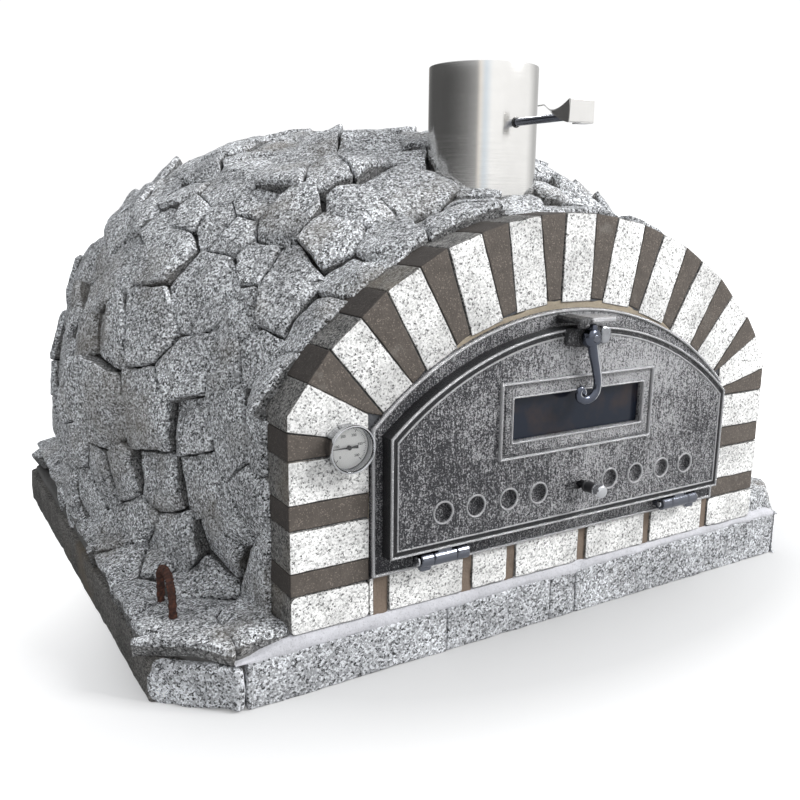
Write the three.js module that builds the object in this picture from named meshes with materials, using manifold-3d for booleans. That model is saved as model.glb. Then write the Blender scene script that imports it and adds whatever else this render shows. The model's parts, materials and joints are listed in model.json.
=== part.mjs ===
// Wood fired pizza oven: a granite clad dome on a clipped concrete slab, with an
// arch of light setts and dark bricks, a cast iron drop door, a flue with a damper
// and a dial thermometer.
//
// Millimetres, +Z up. The origin is the centre of the slab's underside. +X is to the
// right of someone facing the door, and +Y runs from the door to the back.
import * as THREE from "three";
import { mergeVertices } from "three/addons/utils/BufferGeometryUtils.js";
import Module from "manifold-3d";

const wasm = await Module();
wasm.setup();

// ---------------------------------------------------------------- driving sizes
const GAP = 0.3; // clearance between neighbours that touch

const BASE = { halfWidth: 533, halfDepth: 528, top: 55 };
const FRONT_CLIP = { x: 78, y: 73 }; // clipped front corners of the slab
const REAR_CLIP = 187; // clipped rear corners of the slab
const FACING_THICKNESS = 30;
const CORNER_EDGE = 0.2; // part of that thickness left where the facing meets the sides
const FRONT = -BASE.halfDepth; // plane of the arch's face

const BED_TOP = 75; // top of the mortar bed, where the arch stands
const LEDGE_TOP = 80;
const HEARTH = { insulationTop: 114.7, top: 150 };

const ARCH = {
  halfWidth: 390,
  outerRadius: 465,
  innerRadius: 354.5,
  openingHalfWidth: 291,
  depth: 100,
  centreZ: BED_TOP,
};
const STONE_COUNT = 11; // light wedges, with a dark brick between each pair
const STONE_WIDTH = 49;
const STONE_STEP = 11.06; // degrees from one light wedge to the next
const KEY_LEAN = 1.1; // degrees that the hand-set keystone stands right of centre
const FOCUS_DROP = 40; // the wedges point this far below the arch's centre
const SPRING = { outer: 236, inner: 213 }; // top of the pillars above the bed
const FIRST_JOINT = { angle: 141.8, innerX: 291, innerZ: 245 };

const DOME = { centreY: -8, radius: 530, springZ: 179, top: 674, power: 2.4 };
const CLADDING = 50;
const ARCH_JOINT = 2.2; // mortar joint between the wedges and the cladding
const COLLAR_PROUD = 28; // the cladding stands this far outside the arch
const COLLAR_FRONT = FRONT + 52; // where the cladding starts behind the arch's face
const CHAMBER = { centreY: 50, radius: 370, wall: 50, top: 534 };
const THROAT = { halfWidth: 250, side: 280, top: 385, wall: 45, rear: -240 };

const FLUE = { y: -327, radius: 75, wall: 1.5, bottom: 434, top: 730 };
const DAMPER = { z: 654, shaftRadius: 5, plateRadius: 70, shaftFront: -511 };

// Door and frame outlines: half width, sill height, height of the straight sides, crown.
const FLANGE = { w: 289.5, bottom: 124.2, side: 303, top: 423 };
const FRAME_OPENING = { w: 258, bottom: 142, side: 287, top: 392 };
const FRAME_SLEEVE = { w: 264, bottom: 136, side: 291, top: 398 };
const DOOR = { w: 276, bottom: 150, side: 294.5, top: 402 };
const FLANGE_FACE = FRONT - 4;
const DOOR_FACE = FRONT - 24;
const DOOR_BACK = FLANGE_FACE - 1;
const DOOR_SKIN = 7;
const WINDOW = { w: 107, bottom: 269, top: 322 };
const WINDOW_RIM = { w: 127, bottom: 246, top: 343 };
const VENT = { z: 196, radius: 12, travel: 24, at: [60.5, 107.5, 157, 204] };
const KNOB_X = 12;
const LATCH = { z: 390, y: -567 };
const HINGE = { y: FRONT - 18, z: 140, radius: 8, pin: 4, inner: 166, outer: 234 };
const DIAL = { x: -321, z: 288, radius: 27.5 };

const LOOP = { x: 492, y: -400.5, rearX: 425, rearY: 420, half: 23.5, bar: 5, top: 135 };

// ---------------------------------------------------------------- materials
const look = (color, roughness, metalness) => ({ color, roughness, metalness });
const LOOKS = {
  lightGranite: look(0xd9d8d4, 0.8, 0),
  greyGranite: look(0x96979a, 0.88, 0),
  darkBrick: look(0x5d534c, 0.92, 0),
  mortar: look(0xb3b3bb, 0.95, 0),
  sandMortar: look(0xa99f8b, 0.95, 0),
  concrete: look(0x65625c, 0.95, 0),
  firebrick: look(0xc9a982, 0.9, 0),
  insulation: look(0xd8d3c6, 1, 0),
  castIron: look(0x4b4d50, 0.55, 0.8),
  steel: look(0xaeb2b6, 0.3, 1),
  stainless: look(0xc4c6c8, 0.28, 1),
  glass: look(0x23272c, 0.08, 0),
  enamel: look(0xf1f1ec, 0.45, 0),
  blackPaint: look(0x17181a, 0.5, 0.1),
  rust: look(0x5e2f21, 0.9, 0.2),
};

// ---------------------------------------------------------------- solid helpers
function solid(geometry) {
  const bare = geometry.index ? geometry.toNonIndexed() : geometry.clone();
  bare.deleteAttribute("normal");
  bare.deleteAttribute("uv");
  const merged = mergeVertices(bare, 1e-3);
  return new wasm.Manifold(
    new wasm.Mesh({
      numProp: 3,
      vertProperties: merged.attributes.position.array,
      triVerts: new Uint32Array(merged.index.array),
    }),
  );
}

function part(name, body, material) {
  const mesh = body.getMesh();
  const geometry = new THREE.BufferGeometry();
  geometry.setAttribute("position", new THREE.BufferAttribute(mesh.vertProperties, 3));
  geometry.setIndex(new THREE.BufferAttribute(mesh.triVerts, 1));
  geometry.computeVertexNormals();
  const made = new THREE.Mesh(geometry, new THREE.MeshStandardMaterial(material));
  made.name = name;
  return made;
}

const join = (first, ...rest) => rest.reduce((sum, body) => sum.add(body), first);
const cut = (first, ...rest) => rest.reduce((left, body) => left.subtract(body), first);

// An outline drawn in X and Z, run from front to back.
function alongY(shape, front, back, curveSegments = 8) {
  const geometry = new THREE.ExtrudeGeometry(shape, {
    depth: back - front,
    bevelEnabled: false,
    curveSegments,
  });
  geometry.rotateX(Math.PI / 2);
  geometry.translate(0, back, 0);
  return solid(geometry);
}

// An outline drawn in plan, run upwards.
function alongZ(shape, bottom, top, curveSegments = 12) {
  const geometry = new THREE.ExtrudeGeometry(shape, {
    depth: top - bottom,
    bevelEnabled: false,
    curveSegments,
  });
  geometry.translate(0, 0, bottom);
  return solid(geometry);
}

function box(x0, x1, y0, y1, z0, z1) {
  const geometry = new THREE.BoxGeometry(x1 - x0, y1 - y0, z1 - z0);
  geometry.translate((x0 + x1) / 2, (y0 + y1) / 2, (z0 + z1) / 2);
  return solid(geometry);
}

function polygon(points) {
  return new THREE.Shape(points.map(([x, y]) => new THREE.Vector2(x, y)));
}

const rectangle = (w, bottom, top) =>
  polygon([[-w, bottom], [w, bottom], [w, top], [-w, top]]);

function rod(axis, radius, from, to, centre, sides = 16) {
  const geometry = new THREE.CylinderGeometry(radius, radius, to - from, sides);
  const [a, b] = centre;
  const middle = (from + to) / 2;
  if (axis === "x") geometry.rotateZ(Math.PI / 2).translate(middle, a, b);
  if (axis === "y") geometry.translate(a, middle, b);
  if (axis === "z") geometry.rotateX(Math.PI / 2).translate(a, b, middle);
  return solid(geometry);
}

// A turned piece: profile points are [radius, height along the axis], up the outside
// and back down the inside, starting and ending on the axis or closing on itself.
function turned(axis, profile, centre, sides = 20) {
  const points = profile.map(([r, h]) => new THREE.Vector2(r, h));
  const geometry = new THREE.LatheGeometry(points, sides);
  const [a, b] = centre;
  if (axis === "y") geometry.translate(a, 0, b);
  if (axis === "z") geometry.rotateX(Math.PI / 2).translate(a, b, 0);
  return solid(geometry);
}

function bentBar(points, radius, steps, sides = 8) {
  const section = new THREE.Shape();
  section.absarc(0, 0, radius, 0, Math.PI * 2);
  const path = new THREE.CatmullRomCurve3(points.map((p) => new THREE.Vector3(...p)));
  return solid(
    new THREE.ExtrudeGeometry(section, {
      steps,
      extrudePath: path,
      curveSegments: sides,
      bevelEnabled: false,
    }),
  );
}

const polar = (radius, degrees) => [
  radius * Math.cos(THREE.MathUtils.degToRad(degrees)),
  ARCH.centreZ + radius * Math.sin(THREE.MathUtils.degToRad(degrees)),
];

// ---------------------------------------------------------------- outlines
// The slab's clipped rectangle, drawn in plan and set in by `inset` at the faced front.
function slabOutline(inset) {
  const { halfWidth: w, halfDepth: d } = BASE;
  const front = -d + inset;
  const x = w - FRONT_CLIP.x - inset * 0.4;
  const y = -d + FRONT_CLIP.y + inset * CORNER_EDGE;
  return polygon([
    [-x, front],
    [x, front],
    [w, y],
    [w, d - REAR_CLIP],
    [w - REAR_CLIP, d],
    [-w + REAR_CLIP, d],
    [-w, d - REAR_CLIP],
    [-w, y],
  ]);
}

// The arch's outline, straight up the pillars and round the ring, grown by `off`.
function archOutline(off, bottom = BED_TOP) {
  const w = ARCH.halfWidth + off;
  const r = ARCH.outerRadius + off;
  return roundTopped(w, bottom, r);
}

function roundTopped(w, bottom, r) {
  const spring = Math.acos(w / r);
  const shape = new THREE.Shape();
  shape.moveTo(-w, bottom);
  shape.lineTo(w, bottom);
  shape.lineTo(w, ARCH.centreZ + r * Math.sin(spring));
  shape.absarc(0, ARCH.centreZ, r, spring, Math.PI - spring, false);
  return shape;
}

// A door shaped outline: straight sides under a segmental arch, grown by `off`.
function doorOutline({ w, bottom, side, top }, off = 0) {
  const half = w + off;
  const crown = top + off;
  const eave = side + off * 0.6;
  const rise = crown - eave;
  const r = (half * half + rise * rise) / (2 * rise);
  const spring = Math.acos(half / r);
  const shape = new THREE.Shape();
  shape.moveTo(-half, bottom - off);
  shape.lineTo(half, bottom - off);
  shape.lineTo(half, eave);
  shape.absarc(0, crown - r, r, spring, Math.PI - spring, false);
  return shape;
}

const doorSolid = (outline, off, front, back) =>
  alongY(doorOutline(outline, off), front, back, 8);

// A dome from height `bottom` up, its wall following a superellipse of revolution.
function dome(centreY, radius, top, bottom, sides = 40, rows = 9) {
  const profile = [[0, bottom], [radius, bottom]];
  const power = 2 / DOME.power;
  for (let i = 0; i < rows; i++) {
    const t = (i / rows) * (Math.PI / 2);
    const z = DOME.springZ + (top - DOME.springZ) * Math.sin(t) ** power;
    profile.push([radius * Math.cos(t) ** power, z]);
  }
  profile.push([0, top]);
  return turned("z", profile, [0, centreY], sides);
}

// ---------------------------------------------------------------- slab and rim
const LOOP_PLACES = {
  front_left: [-LOOP.x, LOOP.y, 90],
  front_right: [LOOP.x, LOOP.y, 90],
  rear_left: [-LOOP.rearX, LOOP.rearY, 45],
  rear_right: [LOOP.rearX, LOOP.rearY, -45],
};

// One ribbed bar loop, both legs cast into the slab.
function loopSolid([x, y, turn], radius) {
  const c = Math.cos(THREE.MathUtils.degToRad(turn));
  const s = Math.sin(THREE.MathUtils.degToRad(turn));
  const at = (along, z) => [x + along * c, y + along * s, z];
  const h = LOOP.half;
  const bend = LOOP.top - LOOP.bar - h;
  const points = [at(-h, 20), at(-h, 60), at(-h, bend)];
  for (const a of [135, 90, 45]) {
    const t = THREE.MathUtils.degToRad(a);
    points.push(at(h * Math.cos(t), bend + h * Math.sin(t)));
  }
  points.push(at(h, bend), at(h, 60), at(h, 20));
  return bentBar(points, radius, 26, 4);
}

function loopHoles() {
  return Object.values(LOOP_PLACES).map((place) => loopSolid(place, LOOP.bar + 0.5));
}

function baseSlab() {
  const body = alongZ(slabOutline(FACING_THICKNESS), 0, BASE.top);
  return cut(body, ...loopHoles());
}

// Granite slabs that face the front and the two front corners.
function facingRing() {
  const rear = FRONT + FRONT_CLIP.y + FACING_THICKNESS * CORNER_EDGE;
  const front = box(-600, 600, -600, rear, -1, BASE.top);
  const slab = alongZ(slabOutline(0), 0, BASE.top).intersect(front);
  return cut(slab, alongZ(slabOutline(FACING_THICKNESS - GAP), -1, BASE.top + 1));
}

function facing() {
  const x = BASE.halfWidth - FRONT_CLIP.x;
  const lean = 12; // the corner joints are cut on the slant
  const middle = alongZ(
    polygon([[-x, -600], [x, -600], [x - lean, -400], [-x + lean, -400]]),
    -2,
    BASE.top + 2,
  );
  const ring = facingRing();
  const jointGap = alongZ(
    polygon([[-x - GAP, -600], [x + GAP, -600], [x - lean + GAP, -400], [-x + lean - GAP, -400]]),
    -2,
    BASE.top + 2,
  );
  const corners = cut(ring, jointGap);
  return {
    front: ring.intersect(middle),
    left: corners.intersect(box(-600, 0, -600, 600, -2, 200)),
    right: corners.intersect(box(0, 600, -600, 600, -2, 200)),
  };
}

const FOOT_INSET = 25; // the cladding overlaps the rim stones by this much

// Plan of the dome's foot, with the block that carries the arch, grown by `off`.
function footSolid(off, bottom, top) {
  const circle = rod("z", DOME.radius - FOOT_INSET + off, bottom, top, [0, DOME.centreY], 40);
  const w = ARCH.halfWidth + 1.5 + off;
  return join(circle, box(-w, w, -600, DOME.centreY, bottom, top));
}

function mortarBed() {
  const bottom = BASE.top + GAP;
  const slab = alongZ(slabOutline(2), bottom, BED_TOP - GAP);
  return cut(slab.intersect(footSolid(-GAP, 0, 200)), ...loopHoles());
}

function ledgeStones() {
  const ring = alongZ(slabOutline(2), BASE.top + GAP, LEDGE_TOP);
  return cut(ring, footSolid(GAP, 0, 200), ...loopHoles());
}

// ---------------------------------------------------------------- hearth and domes
const BEHIND_ARCH = FRONT + ARCH.depth + 0.6;

function hearthLayer(bottom, top) {
  const disc = rod("z", CHAMBER.radius + CHAMBER.wall, bottom, top, [0, CHAMBER.centreY], 40);
  const w = THROAT.halfWidth + THROAT.wall;
  return join(disc, box(-w, w, BEHIND_ARCH, CHAMBER.centreY, bottom, top));
}

const THROAT_OPENING = {
  w: THROAT.halfWidth,
  bottom: HEARTH.top - 5,
  side: THROAT.side,
  top: THROAT.top,
};

const throatPassage = () => doorSolid(THROAT_OPENING, 0, -450, -200);
const flueBore = (off, bottom, top) =>
  rod("z", FLUE.radius + off, bottom, top, [0, FLUE.y], 40);

function innerDome() {
  const base = HEARTH.top + GAP;
  const { centreY, radius, wall, top } = CHAMBER;
  const shell = cut(
    dome(centreY, radius + wall, top + wall, base, 36, 8),
    dome(centreY, radius, top, base - 5, 36, 8),
  );
  return cut(shell, throatPassage(), flueBore(GAP, FLUE.bottom - GAP, 700), flueBore(-2, 300, 500));
}

function throatVault() {
  const outer = doorSolid(THROAT_OPENING, THROAT.wall, BEHIND_ARCH, THROAT.rear);
  const above = box(-600, 600, -600, 600, HEARTH.top + GAP, 800);
  const { centreY, radius, wall, top } = CHAMBER;
  const kept = outer.intersect(above);
  const body = cut(
    kept,
    throatPassage(),
    dome(centreY, radius + wall + GAP, top + wall + GAP, 100, 36, 8),
    flueBore(GAP, FLUE.bottom - GAP, 700),
    flueBore(-2, 300, 500),
  );
  return biggest(body);
}

function biggest(body) {
  return body.decompose().sort((a, b) => b.volume() - a.volume())[0];
}

// The space inside the cladding, less `off` all round.
function innerSpace(off) {
  const block = alongY(archOutline(-17 - off, 60), FRONT + ARCH.depth + off, -60);
  const { centreY, radius, top } = DOME;
  return join(block, dome(centreY, radius - CLADDING - off, top - CLADDING - off, 60));
}

function claddingBody() {
  const bottom = BED_TOP + GAP;
  const block = alongY(archOutline(COLLAR_PROUD, bottom), COLLAR_FRONT, -60);
  const outer = join(block, dome(DOME.centreY, DOME.radius, DOME.top, bottom));
  const rim = cut(
    box(-700, 700, -700, 700, 0, LEDGE_TOP + GAP),
    footSolid(-GAP, -1, 200),
  );
  return cut(
    outer,
    rim,
    alongY(archOutline(ARCH_JOINT, 60), -600, BEHIND_ARCH, 16),
    innerSpace(0),
    flueBore(0.6, 400, 800),
  );
}

function insulationBody() {
  const above = box(-600, 600, BEHIND_ARCH, 600, BED_TOP + GAP, 800);
  const { centreY, radius, wall, top } = CHAMBER;
  const throat = doorSolid(THROAT_OPENING, THROAT.wall + GAP, -600, THROAT.rear + 40);
  const full = innerSpace(GAP).intersect(above);
  return cut(
    full,
    hearthSpace(),
    throat,
    dome(centreY, radius + wall + GAP, top + wall + GAP, 60, 36, 8),
    flueBore(0.6, 400, 800),
  );
}

function hearthSpace() {
  const disc = rod("z", CHAMBER.radius + CHAMBER.wall + GAP, 60, 151, [0, CHAMBER.centreY], 40);
  const w = THROAT.halfWidth + THROAT.wall + GAP;
  return join(disc, box(-w, w, -600, CHAMBER.centreY, 60, 151));
}

// ---------------------------------------------------------------- the arch
// Everything the cast iron frame needs, kept clear of the masonry round it.
const framePocket = () => doorSolid(FLANGE, 0.6, -600, FRONT + 11);

function wedgeFrame(k) {
  const t = (k - 5) / 5;
  const angle = 90 + (5 - k) * STONE_STEP - KEY_LEAN * (1 - t * t);
  const middle = (ARCH.outerRadius + ARCH.innerRadius) / 2;
  const [mx, mz] = polar(middle, angle);
  const dx = mx;
  const dz = mz - (ARCH.centreZ - FOCUS_DROP);
  const length = Math.hypot(dx, dz);
  return { mx, mz, ux: dx / length, uz: dz / length };
}

// A point of wedge k: `along` its length from the middle, and `across` to its right.
function wedgePoint(k, along, across) {
  const { mx, mz, ux, uz } = wedgeFrame(k);
  return [mx + ux * along + uz * across, mz + uz * along - ux * across];
}

const HALF_LENGTH = (ARCH.outerRadius - ARCH.innerRadius) / 2 - 0.5;

// The first joint above a pillar, on the left (side -1) or right (side 1).
function firstJoint(side) {
  const [x, z] = polar(ARCH.outerRadius - 0.5, FIRST_JOINT.angle);
  return [
    [side * Math.abs(x), z],
    [side * FIRST_JOINT.innerX, BED_TOP + FIRST_JOINT.innerZ],
  ];
}

function springStone(side) {
  const [outer, inner] = firstJoint(side);
  const w = ARCH.halfWidth;
  const spring = ARCH.centreZ + Math.sqrt(ARCH.outerRadius ** 2 - w ** 2);
  return polygon([
    [side * w, BED_TOP + SPRING.outer],
    [side * ARCH.openingHalfWidth, BED_TOP + SPRING.inner],
    [inner[0], inner[1] - GAP],
    [outer[0] + side * GAP, outer[1] - GAP],
    [side * w, spring],
  ]);
}

function lightWedge(k) {
  if (k === 0) return springStone(-1);
  if (k === STONE_COUNT - 1) return springStone(1);
  const h = STONE_WIDTH / 2;
  return polygon([
    wedgePoint(k, -HALF_LENGTH, -h),
    wedgePoint(k, -HALF_LENGTH, h),
    wedgePoint(k, HALF_LENGTH, h),
    wedgePoint(k, HALF_LENGTH, -h),
  ]);
}

function darkWedge(k) {
  const h = STONE_WIDTH / 2 + GAP;
  const leftEdge = [wedgePoint(k, HALF_LENGTH, h), wedgePoint(k, -HALF_LENGTH, h)];
  const rightEdge = [wedgePoint(k + 1, HALF_LENGTH, -h), wedgePoint(k + 1, -HALF_LENGTH, -h)];
  const [lo, li] = k === 0 ? firstJoint(-1) : leftEdge;
  const [ro, ri] = k === STONE_COUNT - 2 ? firstJoint(1) : rightEdge;
  return polygon([lo, li, ri, ro]);
}

function ringPiece(outline) {
  return cut(alongY(outline, FRONT, FRONT + ARCH.depth), framePocket());
}

function pillar(side) {
  const inner = side * ARCH.openingHalfWidth;
  const outer = side * ARCH.halfWidth;
  const outline = polygon([
    [outer, BED_TOP + GAP],
    [inner, BED_TOP + GAP],
    [inner, BED_TOP + SPRING.inner - GAP],
    [outer, BED_TOP + SPRING.outer - GAP],
  ]);
  const body = ringPiece(outline);
  return side > 0 ? body : cut(body, rod("y", 3.4, -600, -424, [DIAL.x, DIAL.z], 12));
}

function sillCourse() {
  const outline = rectangle(ARCH.openingHalfWidth - 0.5, BED_TOP + GAP, FLANGE.bottom - 0.6);
  return alongY(outline, FRONT, FRONT + ARCH.depth);
}

// Sandy mortar packed between the frame's sleeve and the masonry.
function mortarCollar() {
  const w = ARCH.openingHalfWidth - 0.4;
  const outline = roundTopped(w, FLANGE.bottom, ARCH.innerRadius - 0.6);
  return cut(
    alongY(outline, FRONT + 3, FRONT + ARCH.depth - 2),
    doorSolid(FLANGE, 1, -600, FRONT + 11),
    doorSolid(FRAME_SLEEVE, GAP, -600, -300),
  );
}

// ---------------------------------------------------------------- door frame
// Knuckles of one hinge along X: the two outer ones belong to the frame, the middle
// one to the door.
const KNUCKLE = { split: 17.5, clearance: 0.5 };

function knuckle(side, from, to) {
  const ends = [side * from, side * to].sort((a, b) => a - b);
  return rod("x", HINGE.radius, ends[0], ends[1], [HINGE.y, HINGE.z], 16);
}

const pinHole = (side) =>
  side > 0
    ? rod("x", HINGE.pin + GAP, HINGE.inner - 5, HINGE.outer + 5, [HINGE.y, HINGE.z], 12)
    : rod("x", HINGE.pin + GAP, -HINGE.outer - 5, -HINGE.inner + 5, [HINGE.y, HINGE.z], 12);

function frameKnuckles(side) {
  const { inner, outer, y, z } = HINGE;
  const spans = [[inner, inner + KNUCKLE.split], [outer - KNUCKLE.split, outer]];
  const made = spans.map(([from, to]) => {
    const [x0, x1] = [side * from, side * to].sort((a, b) => a - b);
    const lug = box(x0, x1, y, FLANGE_FACE + 1, z - 6.5, z + 4);
    return join(knuckle(side, from, to), lug);
  });
  const [x0, x1] = [side * (outer - KNUCKLE.split), side * outer].sort((a, b) => a - b);
  const stopLug = box(x0, x1, y - 3, y + 6, z - 15, z - 4);
  return cut(join(...made, stopLug), pinHole(side));
}

function doorFrame() {
  const flange = doorSolid(FLANGE, 0, FLANGE_FACE, FRONT + 10);
  const sleeve = doorSolid(FRAME_SLEEVE, 0, FRONT + 9, FRONT + ARCH.depth - 4);
  const opening = doorSolid(FRAME_OPENING, 0, -600, -300);
  return join(cut(join(flange, sleeve), opening), frameKnuckles(-1), frameKnuckles(1));
}

const KEEPER = { w: 30, bottom: 405.5, tongue: 409.5, top: 417, front: -576 };

function latchKeeper() {
  const { w, bottom, tongue, top, front } = KEEPER;
  const foot = box(-w, w, FLANGE_FACE - 4, FLANGE_FACE - GAP, bottom, top);
  const shelf = box(-w, w, front, FLANGE_FACE - GAP, tongue, top);
  const lip = box(-w, -w / 2, front, front + 4.5, bottom - 2, top);
  return join(foot, shelf, lip);
}

// ---------------------------------------------------------------- door
const knobStemRadius = 4;

function doorPanel() {
  const skinBack = DOOR_FACE + DOOR_SKIN;
  const leaf = cut(
    doorSolid(DOOR, 0, DOOR_FACE, DOOR_BACK),
    doorSolid(DOOR, -DOOR_SKIN, skinBack, DOOR_BACK + 5),
  );
  const boss = box(-32, 32, DOOR_FACE - 8, skinBack, LATCH.z - 14, LATCH.z + 14);
  const hinges = [-1, 1].map(doorKnuckle);
  const holes = VENT.at.flatMap((x) => [-x, x].map((at) =>
    rod("y", VENT.radius, DOOR_FACE - 5, skinBack + 5, [at, VENT.z], 20)));
  const slot = box(
    KNOB_X - VENT.travel - knobStemRadius - 1,
    KNOB_X + knobStemRadius + 1,
    DOOR_FACE - 5,
    skinBack + 5,
    VENT.z - knobStemRadius - 1,
    VENT.z + knobStemRadius + 1,
  );
  const window = alongY(rectangle(WINDOW.w, WINDOW.bottom, WINDOW.top), -600, -500);
  const pinBore = rod("y", 3.4, -600, -500, [0, LATCH.z], 12);
  return cut(join(leaf, boss, ...hinges), ...holes, slot, window, pinBore, pinHole(-1), pinHole(1));
}

function doorKnuckle(side) {
  const { inner, outer, y, z, radius } = HINGE;
  const from = inner + KNUCKLE.split + KNUCKLE.clearance;
  const to = outer - KNUCKLE.split - KNUCKLE.clearance;
  const [x0, x1] = [side * from, side * to].sort((a, b) => a - b);
  return join(
    knuckle(side, from, to),
    box(x0, x1, DOOR_FACE + 1, y + radius - 1, z, DOOR.bottom + 3),
  );
}

function windowFrame() {
  const front = DOOR_FACE - 5;
  const band = alongY(
    rectangle(WINDOW_RIM.w, WINDOW_RIM.bottom, WINDOW_RIM.top),
    front,
    DOOR_FACE - GAP,
  );
  const recess = alongY(
    rectangle(WINDOW_RIM.w - 5, WINDOW_RIM.bottom + 5, WINDOW_RIM.top - 5),
    front - 5,
    DOOR_FACE - 2.5,
  );
  return cut(band, recess, alongY(rectangle(WINDOW.w, WINDOW.bottom, WINDOW.top), -600, -500));
}

function windowGlass() {
  const back = DOOR_FACE + DOOR_SKIN + GAP;
  return alongY(rectangle(WINDOW.w + 5, WINDOW.bottom - 5, WINDOW.top + 5), back, back + 4);
}

const SLIDER_FRONT = DOOR_FACE + DOOR_SKIN + GAP;

function ventSlider() {
  const plate = box(-222, 246, SLIDER_FRONT, SLIDER_FRONT + 3, VENT.z - 16, VENT.z + 16);
  const holes = VENT.at.flatMap((x) => [-x, x].map((at) =>
    rod("y", VENT.radius, -600, -500, [at + VENT.travel, VENT.z], 20)));
  return cut(plate, ...holes);
}

function ventKnob() {
  const root = SLIDER_FRONT - GAP;
  const face = DOOR_FACE - 38;
  return turned(
    "y",
    [
      [0, face],
      [6, face],
      [8, face + 2],
      [8, face + 12],
      [6.5, face + 14],
      [6.5, face + 26],
      [8, face + 27],
      [8, face + 30],
      [knobStemRadius, face + 31],
      [knobStemRadius, root],
      [0, root],
    ],
    [KNOB_X, VENT.z],
    20,
  );
}

// ---------------------------------------------------------------- latch
const LATCH_HUB = { radius: 13, front: -573.5, back: DOOR_FACE - 8.4 };

function latchHandle() {
  const { radius, front, back } = LATCH_HUB;
  const hub = rod("y", radius, front, back, [0, LATCH.z], 20);
  const finger = box(-6, 6, LATCH.y - 4, LATCH.y + 4, LATCH.z + 5, LATCH.z + 17.5);
  const swan = [
    [0, -9],
    [4, -28],
    [10, -48],
    [11, -64],
    [2, -75],
    [-10, -76],
    [-17, -67],
    [-12, -59],
  ].map(([x, drop]) => [x, LATCH.y, LATCH.z + drop]);
  return cut(
    join(hub, finger, bentBar(swan, 5, 22, 3)),
    rod("y", 3.4, -600, -500, [0, LATCH.z], 12),
  );
}

function latchPin() {
  const head = rod("y", 6, LATCH_HUB.front - 4, LATCH_HUB.front - GAP, [0, LATCH.z], 16);
  return join(head, rod("y", 3, LATCH_HUB.front - 1, DOOR_FACE + DOOR_SKIN, [0, LATCH.z], 12));
}

function hingePin(side) {
  const [x0, x1] = [side * (HINGE.inner - 2), side * (HINGE.outer + 0.5)].sort((a, b) => a - b);
  const [h0, h1] = [side * (HINGE.outer + 0.5), side * (HINGE.outer + 4)].sort((a, b) => a - b);
  const centre = [HINGE.y, HINGE.z];
  return join(rod("x", HINGE.pin, x0, x1, centre, 12), rod("x", 6, h0, h1, centre, 16));
}

// ---------------------------------------------------------------- flue and damper
function fluePipe() {
  const { y, radius, wall, bottom, top } = FLUE;
  const inner = radius - wall;
  const pipe = turned(
    "z",
    [[radius, bottom], [radius, top], [inner, top], [inner, bottom], [radius, bottom]],
    [0, y],
    40,
  );
  return cut(pipe, rod("y", DAMPER.shaftRadius + 0.4, -600, 0, [0, DAMPER.z], 12));
}

const shaftBack = FLUE.y + FLUE.radius + 6;

const damperShaft = () =>
  rod("y", DAMPER.shaftRadius, DAMPER.shaftFront, shaftBack, [0, DAMPER.z], 12);

function damperPlate() {
  const x = DAMPER.shaftRadius + GAP;
  return rod("x", DAMPER.plateRadius, x, x + 2, [FLUE.y, DAMPER.z], 32);
}

// A folded sheet handle: a flat face across the end of the shaft, a tapering tail
// down one side of it and a short lip underneath.
function damperHandle() {
  const face = DAMPER.shaftFront - GAP;
  const { z } = DAMPER;
  const front = box(-7, 33, face - 2, face, z - 8, z + 20);
  const lip = box(12, 33, face - 2, face + 14, z - 8, z - 6);
  const tail = new THREE.Shape();
  tail.moveTo(0, -8);
  tail.quadraticCurveTo(22, -4, 34, 12);
  tail.lineTo(62, 15);
  tail.lineTo(62, 17);
  tail.quadraticCurveTo(20, 10, 0, 20);
  const side = new THREE.ExtrudeGeometry(tail, { depth: 2, bevelEnabled: false, curveSegments: 6 });
  side.applyMatrix4(new THREE.Matrix4().set(0, 0, 1, -7.4, 1, 0, 0, face - 1, 0, 1, 0, z, 0, 0, 0, 1));
  return join(front, lip, solid(side));
}

// ---------------------------------------------------------------- thermometer
const DIAL_FRONT = FRONT - 20;

function thermometerCase() {
  const r = DIAL.radius;
  const back = FRONT - 0.4;
  const cup = turned(
    "y",
    [
      [0, DIAL_FRONT + 14],
      [r - 2.5, DIAL_FRONT + 14],
      [r - 2.5, DIAL_FRONT],
      [r - 0.8, DIAL_FRONT - 0.8],
      [r, DIAL_FRONT + 1],
      [r, DIAL_FRONT + 5],
      [r - 1.5, DIAL_FRONT + 6],
      [r - 1.5, back],
      [0, back],
    ],
    [DIAL.x, DIAL.z],
    32,
  );
  return join(cup, rod("y", 3, back - 1, -432, [DIAL.x, DIAL.z], 12));
}

const discInCase = (front, back) =>
  rod("y", DIAL.radius - 2.9, front, back, [DIAL.x, DIAL.z], 32);

const thermometerDial = () => discInCase(DIAL_FRONT + 12.2, DIAL_FRONT + 13.6);
const thermometerLens = () => discInCase(DIAL_FRONT + 1.5, DIAL_FRONT + 3.5);

function thermometerNeedle() {
  const hub = rod("y", 2.6, DIAL_FRONT + 8.2, DIAL_FRONT + 11.8, [DIAL.x, DIAL.z], 12);
  const pointer = polygon([
    [DIAL.x - 20, DIAL.z - 0.3],
    [DIAL.x, DIAL.z - 1],
    [DIAL.x + 11, DIAL.z - 1.6],
    [DIAL.x + 11, DIAL.z + 1.6],
    [DIAL.x, DIAL.z + 1],
    [DIAL.x - 20, DIAL.z + 0.3],
  ]);
  return join(hub, alongY(pointer, DIAL_FRONT + 9.4, DIAL_FRONT + 10.2));
}

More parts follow.
